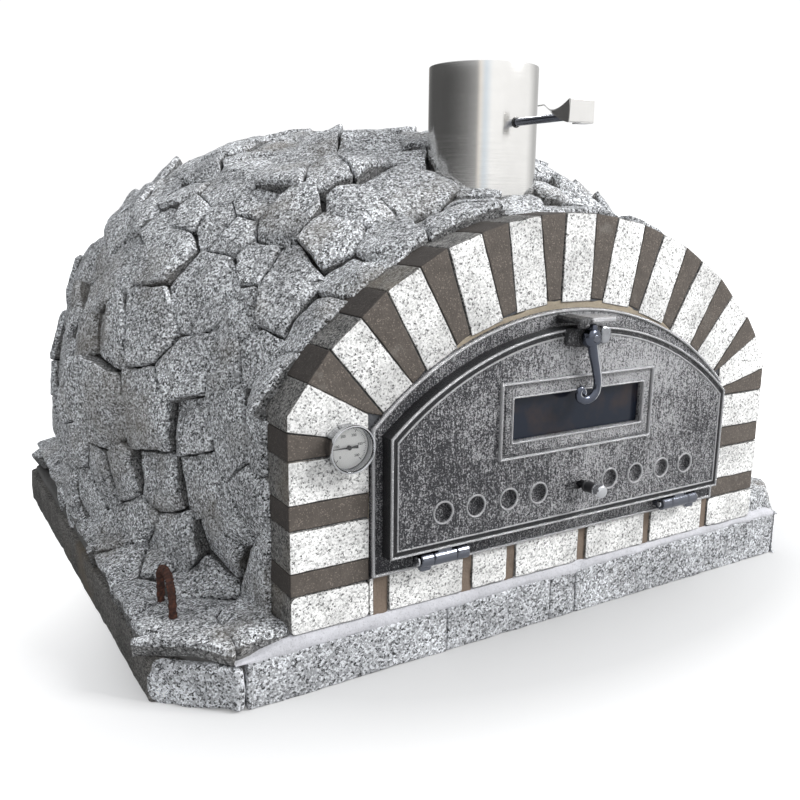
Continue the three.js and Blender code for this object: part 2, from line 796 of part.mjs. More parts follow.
// ---------------------------------------------------------------- assembly
function masonry(group) {
  const slabs = facing();
  group.add(
    part("base_slab", baseSlab(), LOOKS.concrete),
    part("front_facing", slabs.front, LOOKS.greyGranite),
    part("left_corner_facing", slabs.left, LOOKS.greyGranite),
    part("right_corner_facing", slabs.right, LOOKS.greyGranite),
    part("mortar_bed", mortarBed(), LOOKS.mortar),
    part("ledge_stones", ledgeStones(), LOOKS.greyGranite),
    part("floor_insulation", hearthLayer(BED_TOP + GAP, HEARTH.insulationTop), LOOKS.insulation),
    part("hearth_floor", hearthLayer(HEARTH.insulationTop + GAP, HEARTH.top), LOOKS.firebrick),
    part("inner_dome", innerDome(), LOOKS.firebrick),
    part("throat_vault", throatVault(), LOOKS.firebrick),
    part("insulation_layer", insulationBody(), LOOKS.insulation),
    part("dome_cladding", claddingBody(), LOOKS.greyGranite),
    part("left_pillar", pillar(-1), LOOKS.lightGranite),
    part("right_pillar", pillar(1), LOOKS.lightGranite),
    part("sill_course", sillCourse(), LOOKS.lightGranite),
    part("mortar_collar", mortarCollar(), LOOKS.sandMortar),
  );
  for (let k = 0; k < STONE_COUNT; k++)
    group.add(part(`arch_stone_${k + 1}`, ringPiece(lightWedge(k)), LOOKS.lightGranite));
  for (let k = 0; k < STONE_COUNT - 1; k++)
    group.add(part(`arch_brick_${k + 1}`, ringPiece(darkWedge(k)), LOOKS.darkBrick));
  for (const [place, pose] of Object.entries(LOOP_PLACES))
    group.add(part(`lifting_loop_${place}`, loopSolid(pose, LOOP.bar), LOOKS.rust));
}

function ironwork(group) {
  group.add(
    part("door_frame", doorFrame(), LOOKS.castIron),
    part("latch_keeper", latchKeeper(), LOOKS.castIron),
    part("door_panel", doorPanel(), LOOKS.castIron),
    part("window_frame", windowFrame(), LOOKS.castIron),
    part("window_glass", windowGlass(), LOOKS.glass),
    part("vent_slider", ventSlider(), LOOKS.castIron),
    part("vent_knob", ventKnob(), LOOKS.steel),
    part("latch_handle", latchHandle(), LOOKS.castIron),
    part("latch_pin", latchPin(), LOOKS.steel),
    part("hinge_pin_left", hingePin(-1), LOOKS.steel),
    part("hinge_pin_right", hingePin(1), LOOKS.steel),
  );
}

function fittings(group) {
  group.add(
    part("flue_pipe", fluePipe(), LOOKS.stainless),
    part("damper_shaft", damperShaft(), LOOKS.steel),
    part("damper_plate", damperPlate(), LOOKS.stainless),
    part("damper_handle", damperHandle(), LOOKS.stainless),
    part("thermometer_case", thermometerCase(), LOOKS.stainless),
    part("thermometer_dial", thermometerDial(), LOOKS.enamel),
    part("thermometer_needle", thermometerNeedle(), LOOKS.blackPaint),
    part("thermometer_lens", thermometerLens(), LOOKS.glass),
  );
}

const oven = new THREE.Group();
masonry(oven);
ironwork(oven);
fittings(oven);

export default oven;
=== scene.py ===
"""Looks of a wood fired pizza oven: split granite slabs laid over a dome, an arch of
light setts and dark bricks, a cast iron drop door, a flue with a damper and a dial
thermometer. Lengths are in millimetres until a mesh is made, then in metres.
"""

import json
import math

import bpy
import numpy as np
from mathutils import Matrix, Vector

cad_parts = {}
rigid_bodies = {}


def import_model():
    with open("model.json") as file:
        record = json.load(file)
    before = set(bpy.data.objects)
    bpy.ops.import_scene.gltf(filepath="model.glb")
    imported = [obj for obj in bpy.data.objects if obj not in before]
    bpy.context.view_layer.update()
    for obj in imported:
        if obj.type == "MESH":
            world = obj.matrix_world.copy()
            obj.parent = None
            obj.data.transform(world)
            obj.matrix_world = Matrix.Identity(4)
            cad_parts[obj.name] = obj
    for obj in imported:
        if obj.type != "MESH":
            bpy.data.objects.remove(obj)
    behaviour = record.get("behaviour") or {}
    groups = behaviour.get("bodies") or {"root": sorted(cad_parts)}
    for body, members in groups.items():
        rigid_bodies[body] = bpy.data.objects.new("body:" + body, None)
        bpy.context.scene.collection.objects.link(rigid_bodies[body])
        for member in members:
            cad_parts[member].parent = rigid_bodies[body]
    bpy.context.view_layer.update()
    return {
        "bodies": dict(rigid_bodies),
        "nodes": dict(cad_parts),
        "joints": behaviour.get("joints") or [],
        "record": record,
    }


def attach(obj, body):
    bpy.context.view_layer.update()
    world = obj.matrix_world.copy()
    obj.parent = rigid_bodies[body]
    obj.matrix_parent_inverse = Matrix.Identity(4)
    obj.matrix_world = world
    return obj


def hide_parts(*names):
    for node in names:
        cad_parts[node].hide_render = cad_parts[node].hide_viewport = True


MM = 0.001

# Where the frame has the arch's face, the top of the mortar bed, the dome, the arch and
# its opening, the top of the slab and the flue.
FRONT = -528.0
BED_TOP = 75.0
DOME_Y, DOME_R, DOME_SPRING, DOME_RISE, DOME_POWER = -8.0, 528.0, 179.0, 486.0, 2.4
ARCH_R, ARCH_INNER, ARCH_W, OPENING_W = 465.0, 354.5, 390.0, 291.0
SLAB_TOP = 55.0
FLUE_Y, FLUE_R, FLUE_TOP = -327.0, 75.0, 730.0
rng = np.random.default_rng(11)


# ------------------------------------------------------------------ noise
def lattice(i, seed):
    """A fixed random number from 0 to 1 for each whole-number lattice point."""
    n = i.astype(np.int64)
    h = n[..., 0] * 374761393 + n[..., 1] * 668265263 + n[..., 2] * 2246822519 + seed * 3266489917
    h = (h ^ (h >> 13)) & 0x7FFFFFFF
    h = (h * 1274126177) & 0x7FFFFFFF
    h = (h ^ (h >> 16)) & 0xFFFFFF
    return h / float(0xFFFFFF)


def noise(p, size, seed=0):
    """Smooth noise from -1 to 1 with features about `size` mm across."""
    q = np.asarray(p, float) / size
    base = np.floor(q)
    f = q - base
    f = f * f * (3 - 2 * f)
    total = np.zeros(q.shape[:-1])
    for corner in np.ndindex(2, 2, 2):
        c = np.array(corner)
        weight = np.prod(np.where(c, f, 1 - f), axis=-1)
        total += weight * lattice(base + c, seed)
    return total * 2 - 1


def fractal(p, size, octaves=3, seed=0):
    return sum(noise(p, size / 2**k, seed + 17 * k) / 2**k for k in range(octaves))


def noise_vector(p, size, octaves=2, seed=0):
    return np.stack([fractal(p, size, octaves, seed + 101 * k) for k in range(3)], -1)


# ------------------------------------------------------------------ shapes
class Shape:
    """Vertices in mm with faces, each with the index of its material."""

    def __init__(self, verts, faces, mats=None):
        self.verts = np.asarray(verts, float)
        self.faces = faces
        self.mats = mats if mats is not None else [np.zeros(len(f), int) for f in faces]

    def moved(self, matrix):
        m = np.array(matrix)
        self.verts = self.verts @ m[:3, :3].T + m[:3, 3]
        return self

    def roughened(self, amount, size, octaves=2, seed=0):
        self.verts = self.verts + amount * noise_vector(self.verts, size, octaves, seed)
        return self

    def without(self, gone):
        """Drops the faces whose corners are all marked, and the points left over."""
        keep = [~gone[f].all(axis=1) for f in self.faces]
        self.mats = [m[k] for m, k in zip(self.mats, keep)]
        faces = [f[k] for f, k in zip(self.faces, keep)]
        used = np.zeros(len(self.verts), bool)
        for f in faces:
            used[f.ravel()] = True
        places = np.cumsum(used) - 1
        self.verts = self.verts[used]
        self.faces = [places[f] for f in faces]
        return self

    def painted_towards(self, direction, least, index):
        """Gives another material to the faces that look far enough in a direction."""
        for f, m in zip(self.faces, self.mats):
            corners = self.verts[f]
            normal = unit(np.cross(corners[:, 1] - corners[:, 0], corners[:, 2] - corners[:, 0]) + 1e-9)
            m[normal @ np.array(direction) > least] = index
        return self

    def painted(self, index):
        self.mats = [np.full(len(f), index) for f in self.faces]
        return self


# Options of a skin that closes on itself round a hole, as a pipe does.
HOLLOW = {"caps": (False, False), "around": True}


def loft(rings, caps=(True, True), mats=None, cap_mats=(0, 0), around=False):
    """A skin over rings of points (rings, points, 3), the caps closed by fans."""
    rings = np.asarray(rings, float)
    r, n = rings.shape[:2]
    verts = rings.reshape(-1, 3)
    rows = np.arange(r if around else r - 1)[:, None]
    i = rows * n + np.arange(n)[None]
    j = rows * n + (np.arange(n) + 1) % n
    up = n * (((rows + 1) % r) - rows)
    quads = np.stack([i, j, j + up, i + up], -1).reshape(-1, 4)
    quad_mats = np.repeat(mats if mats is not None else np.zeros(len(rows), int), n)
    tris, tri_mats = [], []
    for end, wanted, mat in ((0, caps[0], cap_mats[0]), (r - 1, caps[1], cap_mats[1])):
        if not wanted:
            continue
        centre = len(verts)
        verts = np.vstack([verts, rings[end].mean(0)])
        a = end * n + np.arange(n)
        b = end * n + (np.arange(n) + 1) % n
        fan = np.stack([b, a, np.full(n, centre)] if end == 0 else [a, b, np.full(n, centre)], -1)
        tris.append(fan)
        tri_mats.append(np.full(n, mat))
    faces = [quads] + ([np.vstack(tris)] if tris else [])
    face_mats = [quad_mats] + ([np.concatenate(tri_mats)] if tris else [])
    return outward(Shape(verts, faces, face_mats))


def outward(shape):
    """Turns the faces over when a closed shape is inside out."""
    volume = 0.0
    for f in shape.faces:
        a = shape.verts[f[:, 0]]
        for k in range(1, f.shape[1] - 1):
            cross = np.cross(shape.verts[f[:, k]], shape.verts[f[:, k + 1]])
            volume += float(np.einsum("ij,ij->", a, cross))
    if volume < 0:
        shape.faces = [f[:, ::-1] for f in shape.faces]
    return shape


def swept(edges):
    """A closed bar from its long edges, each a row of points from end to end."""
    return loft(np.transpose(np.array(edges), (1, 0, 2)))


def merged(shapes):
    verts, faces, mats, start = [], {3: [], 4: []}, {3: [], 4: []}, 0
    for s in shapes:
        verts.append(s.verts)
        for f, m in zip(s.faces, s.mats):
            faces[f.shape[1]].append(f + start)
            mats[f.shape[1]].append(m)
        start += len(s.verts)
    sides = [k for k in (3, 4) if faces[k]]
    face_mats = [np.concatenate(mats[k]) for k in sides]
    return Shape(np.vstack(verts), [np.vstack(faces[k]) for k in sides], face_mats)


def linked(name, data):
    made = bpy.data.objects.new(name, data)
    bpy.context.scene.collection.objects.link(made)
    return made


def piece(name, shapes, materials, body, replaces=(), sharp=35.0):
    """Makes one mesh object from shapes and fixes it to a body of the frame."""
    shape = merged(shapes if isinstance(shapes, list) else [shapes])
    mesh = bpy.data.meshes.new(name)
    mesh.vertices.add(len(shape.verts))
    mesh.vertices.foreach_set("co", (shape.verts * MM).astype(np.float32).ravel())
    sizes = np.concatenate([np.full(len(f), f.shape[1]) for f in shape.faces])
    loops = np.concatenate([f.ravel() for f in shape.faces])
    mesh.loops.add(len(loops))
    mesh.loops.foreach_set("vertex_index", loops.astype(np.int32))
    mesh.polygons.add(len(sizes))
    starts = np.concatenate([[0], np.cumsum(sizes)[:-1]])
    mesh.polygons.foreach_set("loop_start", starts.astype(np.int32))
    mesh.polygons.foreach_set("material_index", np.concatenate(shape.mats).astype(np.int32))
    mesh.update(calc_edges=True)
    mesh.polygons.foreach_set("use_smooth", np.ones(len(sizes), bool))
    mesh.set_sharp_from_angle(angle=math.radians(sharp))
    for material in materials if isinstance(materials, list) else [materials]:
        mesh.materials.append(material)
    made = linked(name, mesh)
    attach(made, body)
    if replaces:
        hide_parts(*replaces)


# ------------------------------------------------------------------ outlines
def rounded(poly, radius, spacing, arc=4):
    """Points round a convex polygon with rounded corners, and the outward direction
    at each, counter-clockwise."""
    poly = np.asarray(poly, float)
    area = np.sum(np.cross(poly, np.roll(poly, -1, 0)))
    if area < 0:
        poly = poly[::-1]
    n = len(poly)
    points, outs = [], []
    corners = []
    for k in range(n):
        before, here, after = poly[k - 1], poly[k], poly[(k + 1) % n]
        u = (here - before) / np.linalg.norm(here - before)
        v = (after - here) / np.linalg.norm(after - here)
        turn = math.acos(float(np.clip(u @ v, -1, 1)))
        back = min(radius * math.tan(turn / 2), 0.4 * np.linalg.norm(here - before))
        back = min(back, 0.4 * np.linalg.norm(after - here))
        r = back / max(math.tan(turn / 2), 1e-6)
        nu = np.array([u[1], -u[0]])
        centre = here - u * back - nu * r
        corners.append((centre, r, math.atan2(nu[1], nu[0]), turn))
    for k in range(n):
        centre, r, start, turn = corners[k]
        for t in np.linspace(0, turn, arc):
            out = np.array([math.cos(start + t), math.sin(start + t)])
            points.append(centre + out * r)
            outs.append(out)
        following = corners[(k + 1) % n]
        direction = np.array([math.cos(following[2]), math.sin(following[2])])
        a = points[-1]
        b = following[0] + direction * following[1]
        steps = int(np.linalg.norm(b - a) // spacing)
        for t in np.linspace(0, 1, steps + 2)[1:-1]:
            points.append(a + (b - a) * t)
            outs.append(direction)
    return np.array(points), np.array(outs)


def block(poly, low, high, edge=2.0, spacing=9.0, corner=None, chip=0.0, seed=0):
    """A stone or brick: a convex polygon run from low to high, its edges rounded and
    chipped. Points are (x, y) of the polygon and the run along z. The ends get material
    0 and the sides material 1."""
    points, outs = rounded(poly, corner if corner is not None else edge, spacing)
    centre = points.mean(0)
    n = len(points)
    bite = np.zeros(n)
    if chip:
        where = np.column_stack([points, np.full(n, low)])
        bite = chip * np.clip(fractal(where, 14, 3, seed) - 0.15, 0, 1)
    rings = []

    def ring(inset, z, scale):
        flat = centre + (points - outs * inset[:, None] - centre) * scale
        rings.append(np.column_stack([flat, np.full(n, z)]))

    def end(z, sign, bites):
        made = []
        reach = edge + bites
        for scale in (0.25, 0.5, 0.72, 0.9):
            made.append((reach, z, scale))
        for a in (0, 30, 60, 90):
            t = math.radians(a)
            made.append((reach * (1 - math.sin(t)), z + sign * edge * (1 - math.cos(t)), 1.0))
        return made

    steps = max(2, int((high - low - 2 * edge) // (spacing * 1.6)))
    first = end(low, 1, bite)
    last = end(high, -1, bite * 0.5)[::-1]
    middle = [(np.zeros(n), z, 1.0) for z in np.linspace(low + edge, high - edge, steps + 1)[1:-1]]
    for inset, z, scale in first + middle + last:
        ring(np.broadcast_to(inset, (n,)), z, scale)
    mats = np.ones(len(rings) - 1, int)
    mats[:5] = 0
    mats[-5:] = 0
    return loft(rings, mats=mats)


# Turns a shape drawn with its run along z into one run along +Y, seen from the front.
TO_FRONT = Matrix(((1, 0, 0, 0), (0, 0, 1, 0), (0, 1, 0, 0), (0, 0, 0, 1)))


def rectangle(x0, z0, x1, z1):
    return [(x0, z0), (x1, z0), (x1, z1), (x0, z1)]


def front_block(poly, y0, y1, **options):
    return outward(block(poly, y0, y1, **options).moved(TO_FRONT))


def plain_block(poly, y0, y1, **options):
    return front_block(poly, y0, y1, **options).painted(0)


def full_turn(count):
    return np.linspace(0, 2 * math.pi, count, endpoint=False)


def shifted(profile, start):
    """A turned profile with its places along the axis counted from a start."""
    return [(r, start + h) for r, h in profile]


def lathe(profile, centre, axis, sides, **options):
    """A turned shape: profile points are (radius, place along the axis)."""
    angles = full_turn(sides)
    c, s = np.cos(angles), np.sin(angles)
    rings = []
    for r, h in profile:
        a, b, along = r * c, r * s, np.full(sides, float(h))
        if axis == "z":
            rings.append(np.column_stack([centre[0] + a, centre[1] + b, along]))
        elif axis == "y":
            rings.append(np.column_stack([centre[0] + a, along, centre[1] + b]))
        else:
            rings.append(np.column_stack([along, centre[0] + a, centre[1] + b]))
    return loft(rings, **options)


def tube(path, radii, sides=12, flat=(1.0, 1.0)):
    """A bar along a path of points, with a radius at each."""
    path = np.asarray(path, float)
    tangents = np.gradient(path, axis=0)
    tangents /= np.linalg.norm(tangents, axis=1)[:, None]
    normal = np.array([0.0, 1.0, 0.0]) if abs(tangents[0][1]) < 0.9 else np.array([1.0, 0, 0])
    angles = full_turn(sides)
    rings = []
    for p, t, r in zip(path, tangents, np.broadcast_to(radii, len(path))):
        normal = normal - t * (normal @ t)
        normal /= np.linalg.norm(normal)
        side = np.cross(t, normal)
        a = np.cos(angles)[:, None] * normal * flat[0]
        b = np.sin(angles)[:, None] * side * flat[1]
        rings.append(p + r * (a + b))
    return loft(rings)


def smooth_path(points, count):
    """A Catmull-Rom curve through the points."""
    p = np.asarray(points, float)
    p = np.vstack([2 * p[0] - p[1], p, 2 * p[-1] - p[-2]])
    made = []
    for t in np.linspace(0, len(p) - 3 - 1e-6, count):
        k = int(t)
        f = t - k
        a, b, c, d = p[k : k + 4]
        square, cube = 2 * a - 5 * b + 4 * c - d, 3 * b - a - 3 * c + d
        made.append(0.5 * (2 * b + (c - a) * f + square * f**2 + cube * f**3))
    return np.array(made)


# ------------------------------------------------------------------ materials
class Nodes:
    """Builds one material's node tree from short calls."""

    def __init__(self, name, tree=None):
        if tree is None:
            self.material = bpy.data.materials.new(name)
            self.material.use_nodes = True
            tree = self.material.node_tree
            self.shader = tree.nodes["Principled BSDF"]
        self.tree = tree
        self.place = self.tree.nodes.new("ShaderNodeTexCoord").outputs["Object"]

    def node(self, kind, **values):
        made = self.tree.nodes.new("ShaderNode" + kind)
        for key, value in values.items():
            if hasattr(made, key):
                setattr(made, key, value)
            else:
                self.put(made.inputs[key.replace("_", " ")], value)
        return made

    def put(self, socket, value):
        if isinstance(value, bpy.types.NodeSocket):
            self.tree.links.new(value, socket)
        else:
            socket.default_value = value

    def set(self, **values):
        for key, value in values.items():
            self.put(self.shader.inputs[key.replace("_", " ")], value)
        return self.material

    def mapped(self, scale, location=(0.0, 0.0, 0.0)):
        made = self.node("Mapping", vector_type="POINT", Vector=self.place)
        made.inputs["Scale"].default_value = scale
        made.inputs["Location"].default_value = location
        return made.outputs[0]

    def ball(self, scale, location):
        """Falls from 1 at a point to 0 at a distance from it."""
        where = self.mapped(scale, location)
        return self.node("TexGradient", gradient_type="SPHERICAL", Vector=where).outputs["Fac"]

    def noise(self, scale, detail, where=None, roughness=0.55):
        where = where or self.place
        made = self.node("TexNoise", Scale=scale, Detail=detail, Roughness=roughness, Vector=where)
        return made.outputs["Fac"]

    def grains(self, scale):
        """A random number for each grain, from Voronoi cells."""
        made = self.node("TexVoronoi", Scale=scale, Vector=self.place)
        split = self.node("SeparateColor")
        self.put(split.inputs[0], made.outputs["Color"])
        return split.outputs[0]

    def ramp(self, value, stops):
        made = self.node("ValToRGB")
        elements = made.color_ramp.elements
        while len(elements) < len(stops):
            elements.new(0.5)
        for element, (at, colour) in zip(elements, stops):
            element.position = at
            grey = (colour,) * 3 if isinstance(colour, (int, float)) else colour
            element.color = (*grey, 1)
        self.put(made.inputs[0], value)
        return made.outputs[0]

    def mix(self, factor, a, b, blend="MIX"):
        made = self.node("Mix", data_type="RGBA", blend_type=blend)
        self.put(made.inputs[0], factor)
        for socket, value in ((made.inputs[6], a), (made.inputs[7], b)):
            if isinstance(value, (int, float)):
                value = (value, value, value, 1)
            elif isinstance(value, tuple) and len(value) == 3:
                value = (*value, 1)
            self.put(socket, value)
        return made.outputs[2]

    def times(self, a, b):
        return self.mix(1.0, a, b, "MULTIPLY")

    def maths(self, operation, a, b):
        made = self.node("Math", operation=operation)
        self.put(made.inputs[0], a)
        self.put(made.inputs[1], b)
        return made.outputs[0]

    def bump(self, height, distance):
        return self.node("Bump", Strength=1.0, Distance=distance, Height=height).outputs[0]


def granite(name, light, mid, dark, share, warm, grain, pit, tint):
    """Speckled granite: white, grey and black grains with pits between them."""
    n = Nodes(name)
    blend = n.mix(0.32, n.grains(grain), n.grains(grain * 2.2))
    low, high = share
    stops = [(low - 0.03, dark), (low + 0.07, mid), (high, mid * 1.2), (high + 0.08, light)]
    colour = n.ramp(blend, stops)
    patches = n.ramp(n.noise(14.0, 5.0), [(0.3, 0.66), (0.7, 1.2)])
    colour = n.times(colour, patches)
    if warm:
        stain = n.ramp(n.noise(9.0, 5.0), [(0.54, 0.0), (0.72, warm)])
        colour = n.mix(stain, colour, (0.2, 0.17, 0.13))
    colour = n.times(colour, tint)
    height = n.maths("ADD", n.noise(170.0, 7.0, roughness=0.72), n.maths("MULTIPLY", blend, 0.4))
    return n.set(
        Base_Color=colour, Roughness=n.ramp(blend, [(0.0, 0.55), (0.5, 0.85)]),
        Normal=n.bump(height, pit),
    )


def shade(colour, times):
    return tuple(c * times for c in colour)


def brick_material(name, colour, side):
    """A hard dark brick: fine pale sand showing in it and a pale smear here and there. The whole
    colour is scaled by side, which is below 1 for the copy on the sides: painted shade.
    """
    n = Nodes(name)
    tone = n.mix(n.noise(60.0, 7.0, roughness=0.65), shade(colour, 0.55), shade(colour, 1.35))
    specks = n.ramp(n.grains(820.0), [(0.86, 0.0), (0.97, 0.55)])
    tone = n.mix(specks, tone, shade(colour, 2.8))
    smear = n.ramp(n.noise(30.0, 7.0, roughness=0.65), [(0.6, 0.0), (0.72, 0.25)])
    tone = n.mix(smear, tone, (0.26, 0.25, 0.23))
    # Painted shade: the colour is darkened as a whole for the brick's sides.
    tone = n.times(tone, (side, side, side))
    return n.set(Base_Color=tone, Roughness=0.88, Normal=n.bump(n.noise(320.0, 6.0), 0.0009))


def mortar_material(name, colour, grit):
    n = Nodes(name)
    tone = n.mix(n.noise(22.0, 7.0), shade(colour, 0.7), shade(colour, 1.28))
    sand = n.ramp(n.grains(900.0), [(0.82, 0.0), (0.95, 0.4)])
    tone = n.mix(sand, tone, shade(colour, 0.45))
    return n.set(Base_Color=tone, Roughness=0.93, Normal=n.bump(n.noise(180.0, 7.0), grit))


def iron_material(name, silver, base, rough):
    """Black cast iron with silver rubbed over the high spots, in fine upright strokes and a speckle.
    More silver shows towards a point above the middle of the door: a painted highlight there."""
    n = Nodes(name)
    strokes = n.noise(1.0, 4.0, n.mapped((560.0, 560.0, 90.0)), 0.7)
    speckle = n.noise(540.0, 3.0, roughness=0.75)
    sweep = n.noise(11.0, 5.0)
    # Painted highlight: the silver grows towards a point above the middle of the door, where light falls.
    middle = n.ball((2.9, 2.9, 2.9), (-0.2, 1.6, -1.06))
    total = n.maths("ADD", n.maths("MULTIPLY", strokes, 0.34), n.maths("MULTIPLY", speckle, 0.66))
    total = n.maths("ADD", total, n.maths("MULTIPLY", n.maths("SUBTRACT", sweep, 0.5), 0.22))
    total = n.maths("ADD", total, n.maths("MULTIPLY", n.maths("SUBTRACT", middle, 0.3), 0.1))
    low = 0.597 - 0.26 * silver
    rubbed = n.ramp(total, [(low + 0.02, 0.0), (low + 0.055, 0.35), (low + 0.12, 1.0)])
    colour = n.mix(rubbed, (base * 0.7, base * 0.7, base * 0.9), (0.47, 0.47, 0.48))
    return n.set(
        Base_Color=colour, Metallic=n.ramp(rubbed, [(0.0, 0.2), (1.0, 0.7)]),
        Roughness=n.ramp(rubbed, [(0.0, rough[1]), (1.0, rough[0])]), Normal=n.bump(total, 0.0024),
    )


def metal_material(name, colour, roughness, brush, depth):
    n = Nodes(name)
    grain = n.noise(1.0, 4.0, n.mapped(brush))
    low, high = roughness
    return n.set(
        Base_Color=n.mix(n.noise(30.0, 5.0), shade(colour, 0.86), colour), Metallic=1.0,
        Roughness=n.ramp(grain, [(0.3, low), (0.7, high)]), Normal=n.bump(grain, depth),
    )


def rust_material():
    n = Nodes("rust")
    tone = n.ramp(
        n.noise(230.0, 8.0, roughness=0.75),
        [(0.34, (0.012, 0.007, 0.006)), (0.52, (0.06, 0.022, 0.014)), (0.72, (0.2, 0.075, 0.04))],
    )
    return n.set(Base_Color=tone, Roughness=0.88, Normal=n.bump(n.noise(420.0, 5.0), 0.0012))


def firebrick_material(name, size):
    n = Nodes(name)
    bricks = n.node("TexBrick", Scale=1.0, Mortar_Size=0.0022, Brick_Width=size[0], Row_Height=size[1])
    bricks.inputs["Color1"].default_value = (0.62, 0.44, 0.28, 1)
    bricks.inputs["Color2"].default_value = (0.48, 0.31, 0.19, 1)
    bricks.inputs["Mortar"].default_value = (0.2, 0.17, 0.14, 1)
    n.put(bricks.inputs["Vector"], n.place)
    soot = n.ramp(n.noise(7.0, 6.0), [(0.35, 0.25), (0.75, 1.0)])
    colour = n.times(bricks.outputs["Color"], soot)
    joints = n.maths("MULTIPLY", bricks.outputs["Fac"], -1.0)
    height = n.maths("ADD", joints, n.maths("MULTIPLY", n.noise(160.0, 6.0), 0.4))
    return n.set(Base_Color=colour, Roughness=0.9, Normal=n.bump(height, 0.002))


def glass_material():
    """Sooted door glass: nearly black with a faint blue cast and faint warm patches, both painted
    reflection, and a smooth surface.
    """
    n = Nodes("sooted_glass_and_reflection")
    # Painted reflection: warm patches and a blue cast in the glass's colour.
    painted_reflection = n.ramp(n.noise(16.0, 4.0), [(0.45, 0.0), (0.8, 1.0)])
    colour = n.mix(painted_reflection, (0.012, 0.016, 0.026), (0.05, 0.03, 0.02))
    return n.set(Base_Color=colour, Roughness=0.08, Specular_IOR_Level=0.22)


def lens_material():
    n = Nodes("dial_lens")
    clear = n.node("BsdfTransparent")
    gloss = n.node("BsdfGlossy", Roughness=0.03)
    mix = n.node("MixShader")
    for k, made in enumerate((n.node("Fresnel", IOR=1.45), clear, gloss)):
        n.put(mix.inputs[k], made.outputs[0])
    n.put(n.tree.nodes["Material Output"].inputs["Surface"], mix.outputs[0])
    return n.material


def enamel_material(name, colour, rough):
    n = Nodes(name)
    tone = n.mix(n.noise(60.0, 5.0), shade(colour, 0.93), colour)
    return n.set(Base_Color=tone, Roughness=rough, Normal=n.bump(n.noise(300.0, 3.0), 0.00005))


# Light, mid and dark grains; where the ramp between them starts and ends; brown stain,
# grains per metre, depth of the pits and tint.
GRANITES = {
    "split": (1.0, 0.36, 0.01, (0.26, 0.6), 0.5, 460.0, 0.0034, (0.98, 1.0, 1.03)),
    # The next granite, near black, is on the bed between the stones: painted shade of the deep crevices.
    "pointing_painted_shade": (0.2, 0.08, 0.01, (0.3, 0.7), 0.4, 460.0, 0.005, (1, 1, 1)),
    # The next granite is a darker copy of split for the stones' broken sides: painted shade.
    "split_painted_shade": (0.45, 0.16, 0.012, (0.26, 0.66), 0.4, 460.0, 0.004, (1, 1, 1)),
    "facing": (0.82, 0.38, 0.015, (0.25, 0.62), 0.2, 400.0, 0.0026, (0.97, 0.99, 1.03)),
    "sawn": (0.91, 0.59, 0.06, (0.18, 0.5), 0.0, 480.0, 0.0012, (1.0, 0.995, 0.98)),
    # The setts' sides have a brown stain and are darkened further as painted shade.
    "sett_side_stain_and_shade": (0.3, 0.13, 0.012, (0.28, 0.6), 0.5, 460.0, 0.0022, (1.0, 0.98, 0.94)),
    "slab": (0.32, 0.15, 0.03, (0.28, 0.68), 0.8, 460.0, 0.005, (1.0, 0.96, 0.9)),
    "corner": (1.0, 0.5, 0.02, (0.26, 0.6), 0.1, 440.0, 0.003, (0.97, 0.99, 1.03)),
}

# Colour and depth of the grit.
MORTARS = {
    "bed": ((0.52, 0.52, 0.55), 0.0015), "dark_mortar": ((0.07, 0.073, 0.08), 0.003),
    "rim_mortar": ((0.13, 0.128, 0.125), 0.003), "sand": ((0.34, 0.29, 0.22), 0.0015),
    "rusty_joint": ((0.17, 0.13, 0.1), 0.0015), "insulation": ((0.6, 0.57, 0.5), 0.0015),
}

# Share of rubbed silver, grey of the bare black and the two roughnesses. Beside the plain iron,
# copies with less or more silver paint shade and highlights.
IRONS = {
    # The dark copy is painted shade on the door's recessed wall and groove and on the latch's root.
    "iron": (0.5, 0.02, (0.3, 0.55)), "iron_painted_shade": (0.1, 0.008, (0.2, 0.35)),
    # The bright copies are painted highlights on the beads, the keeper's bar and the vent rims.
    "iron_painted_highlight": (1.25, 0.05, (0.26, 0.42)), "iron_rim_painted_highlight": (1.05, 0.03, (0.28, 0.5)),
}

# Colour, range of roughness, the brushing's scale along each axis and its depth.
EVEN = (260.0, 260.0, 260.0)
METALS = {
    "steel": ((0.4, 0.41, 0.43), (0.16, 0.3), EVEN, 0.0002),
    "stainless": ((0.84, 0.83, 0.81), (0.12, 0.19), (24.0, 24.0, 700.0), 0.00005),
    "polished": ((0.62, 0.63, 0.65), (0.07, 0.16), EVEN, 0.0002),
    "dark_steel": ((0.17, 0.18, 0.21), (0.1, 0.22), EVEN, 0.0002),
    "blued": ((0.11, 0.12, 0.15), (0.1, 0.24), EVEN, 0.0002),
}


def all_materials():
    mats = {name: granite(name, *values) for name, values in GRANITES.items()}
    mats.update({name: mortar_material(name, *values) for name, values in MORTARS.items()})
    mats.update({name: iron_material(name, *values) for name, values in IRONS.items()})
    mats.update({name: metal_material(name, *values) for name, values in METALS.items()})
    mats.update(
        brick=brick_material("dark_brick", (0.09, 0.076, 0.065), 1.0),
        # The second brick is the first at about half its brightness: painted shade for the sides.
        brick_side=brick_material("dark_brick_side", (0.1, 0.085, 0.075), 0.45), rust=rust_material(),
        hearth=firebrick_material("hearth_tiles", (0.22, 0.11)),
        vault=firebrick_material("vault_bricks", (0.12, 0.06)), glass=glass_material(),
        lens=lens_material(), dial=enamel_material("dial_white", (0.95, 0.95, 0.93), 0.45),
        black=enamel_material("black_paint", (0.014, 0.014, 0.016), 0.38),
    )
    return mats


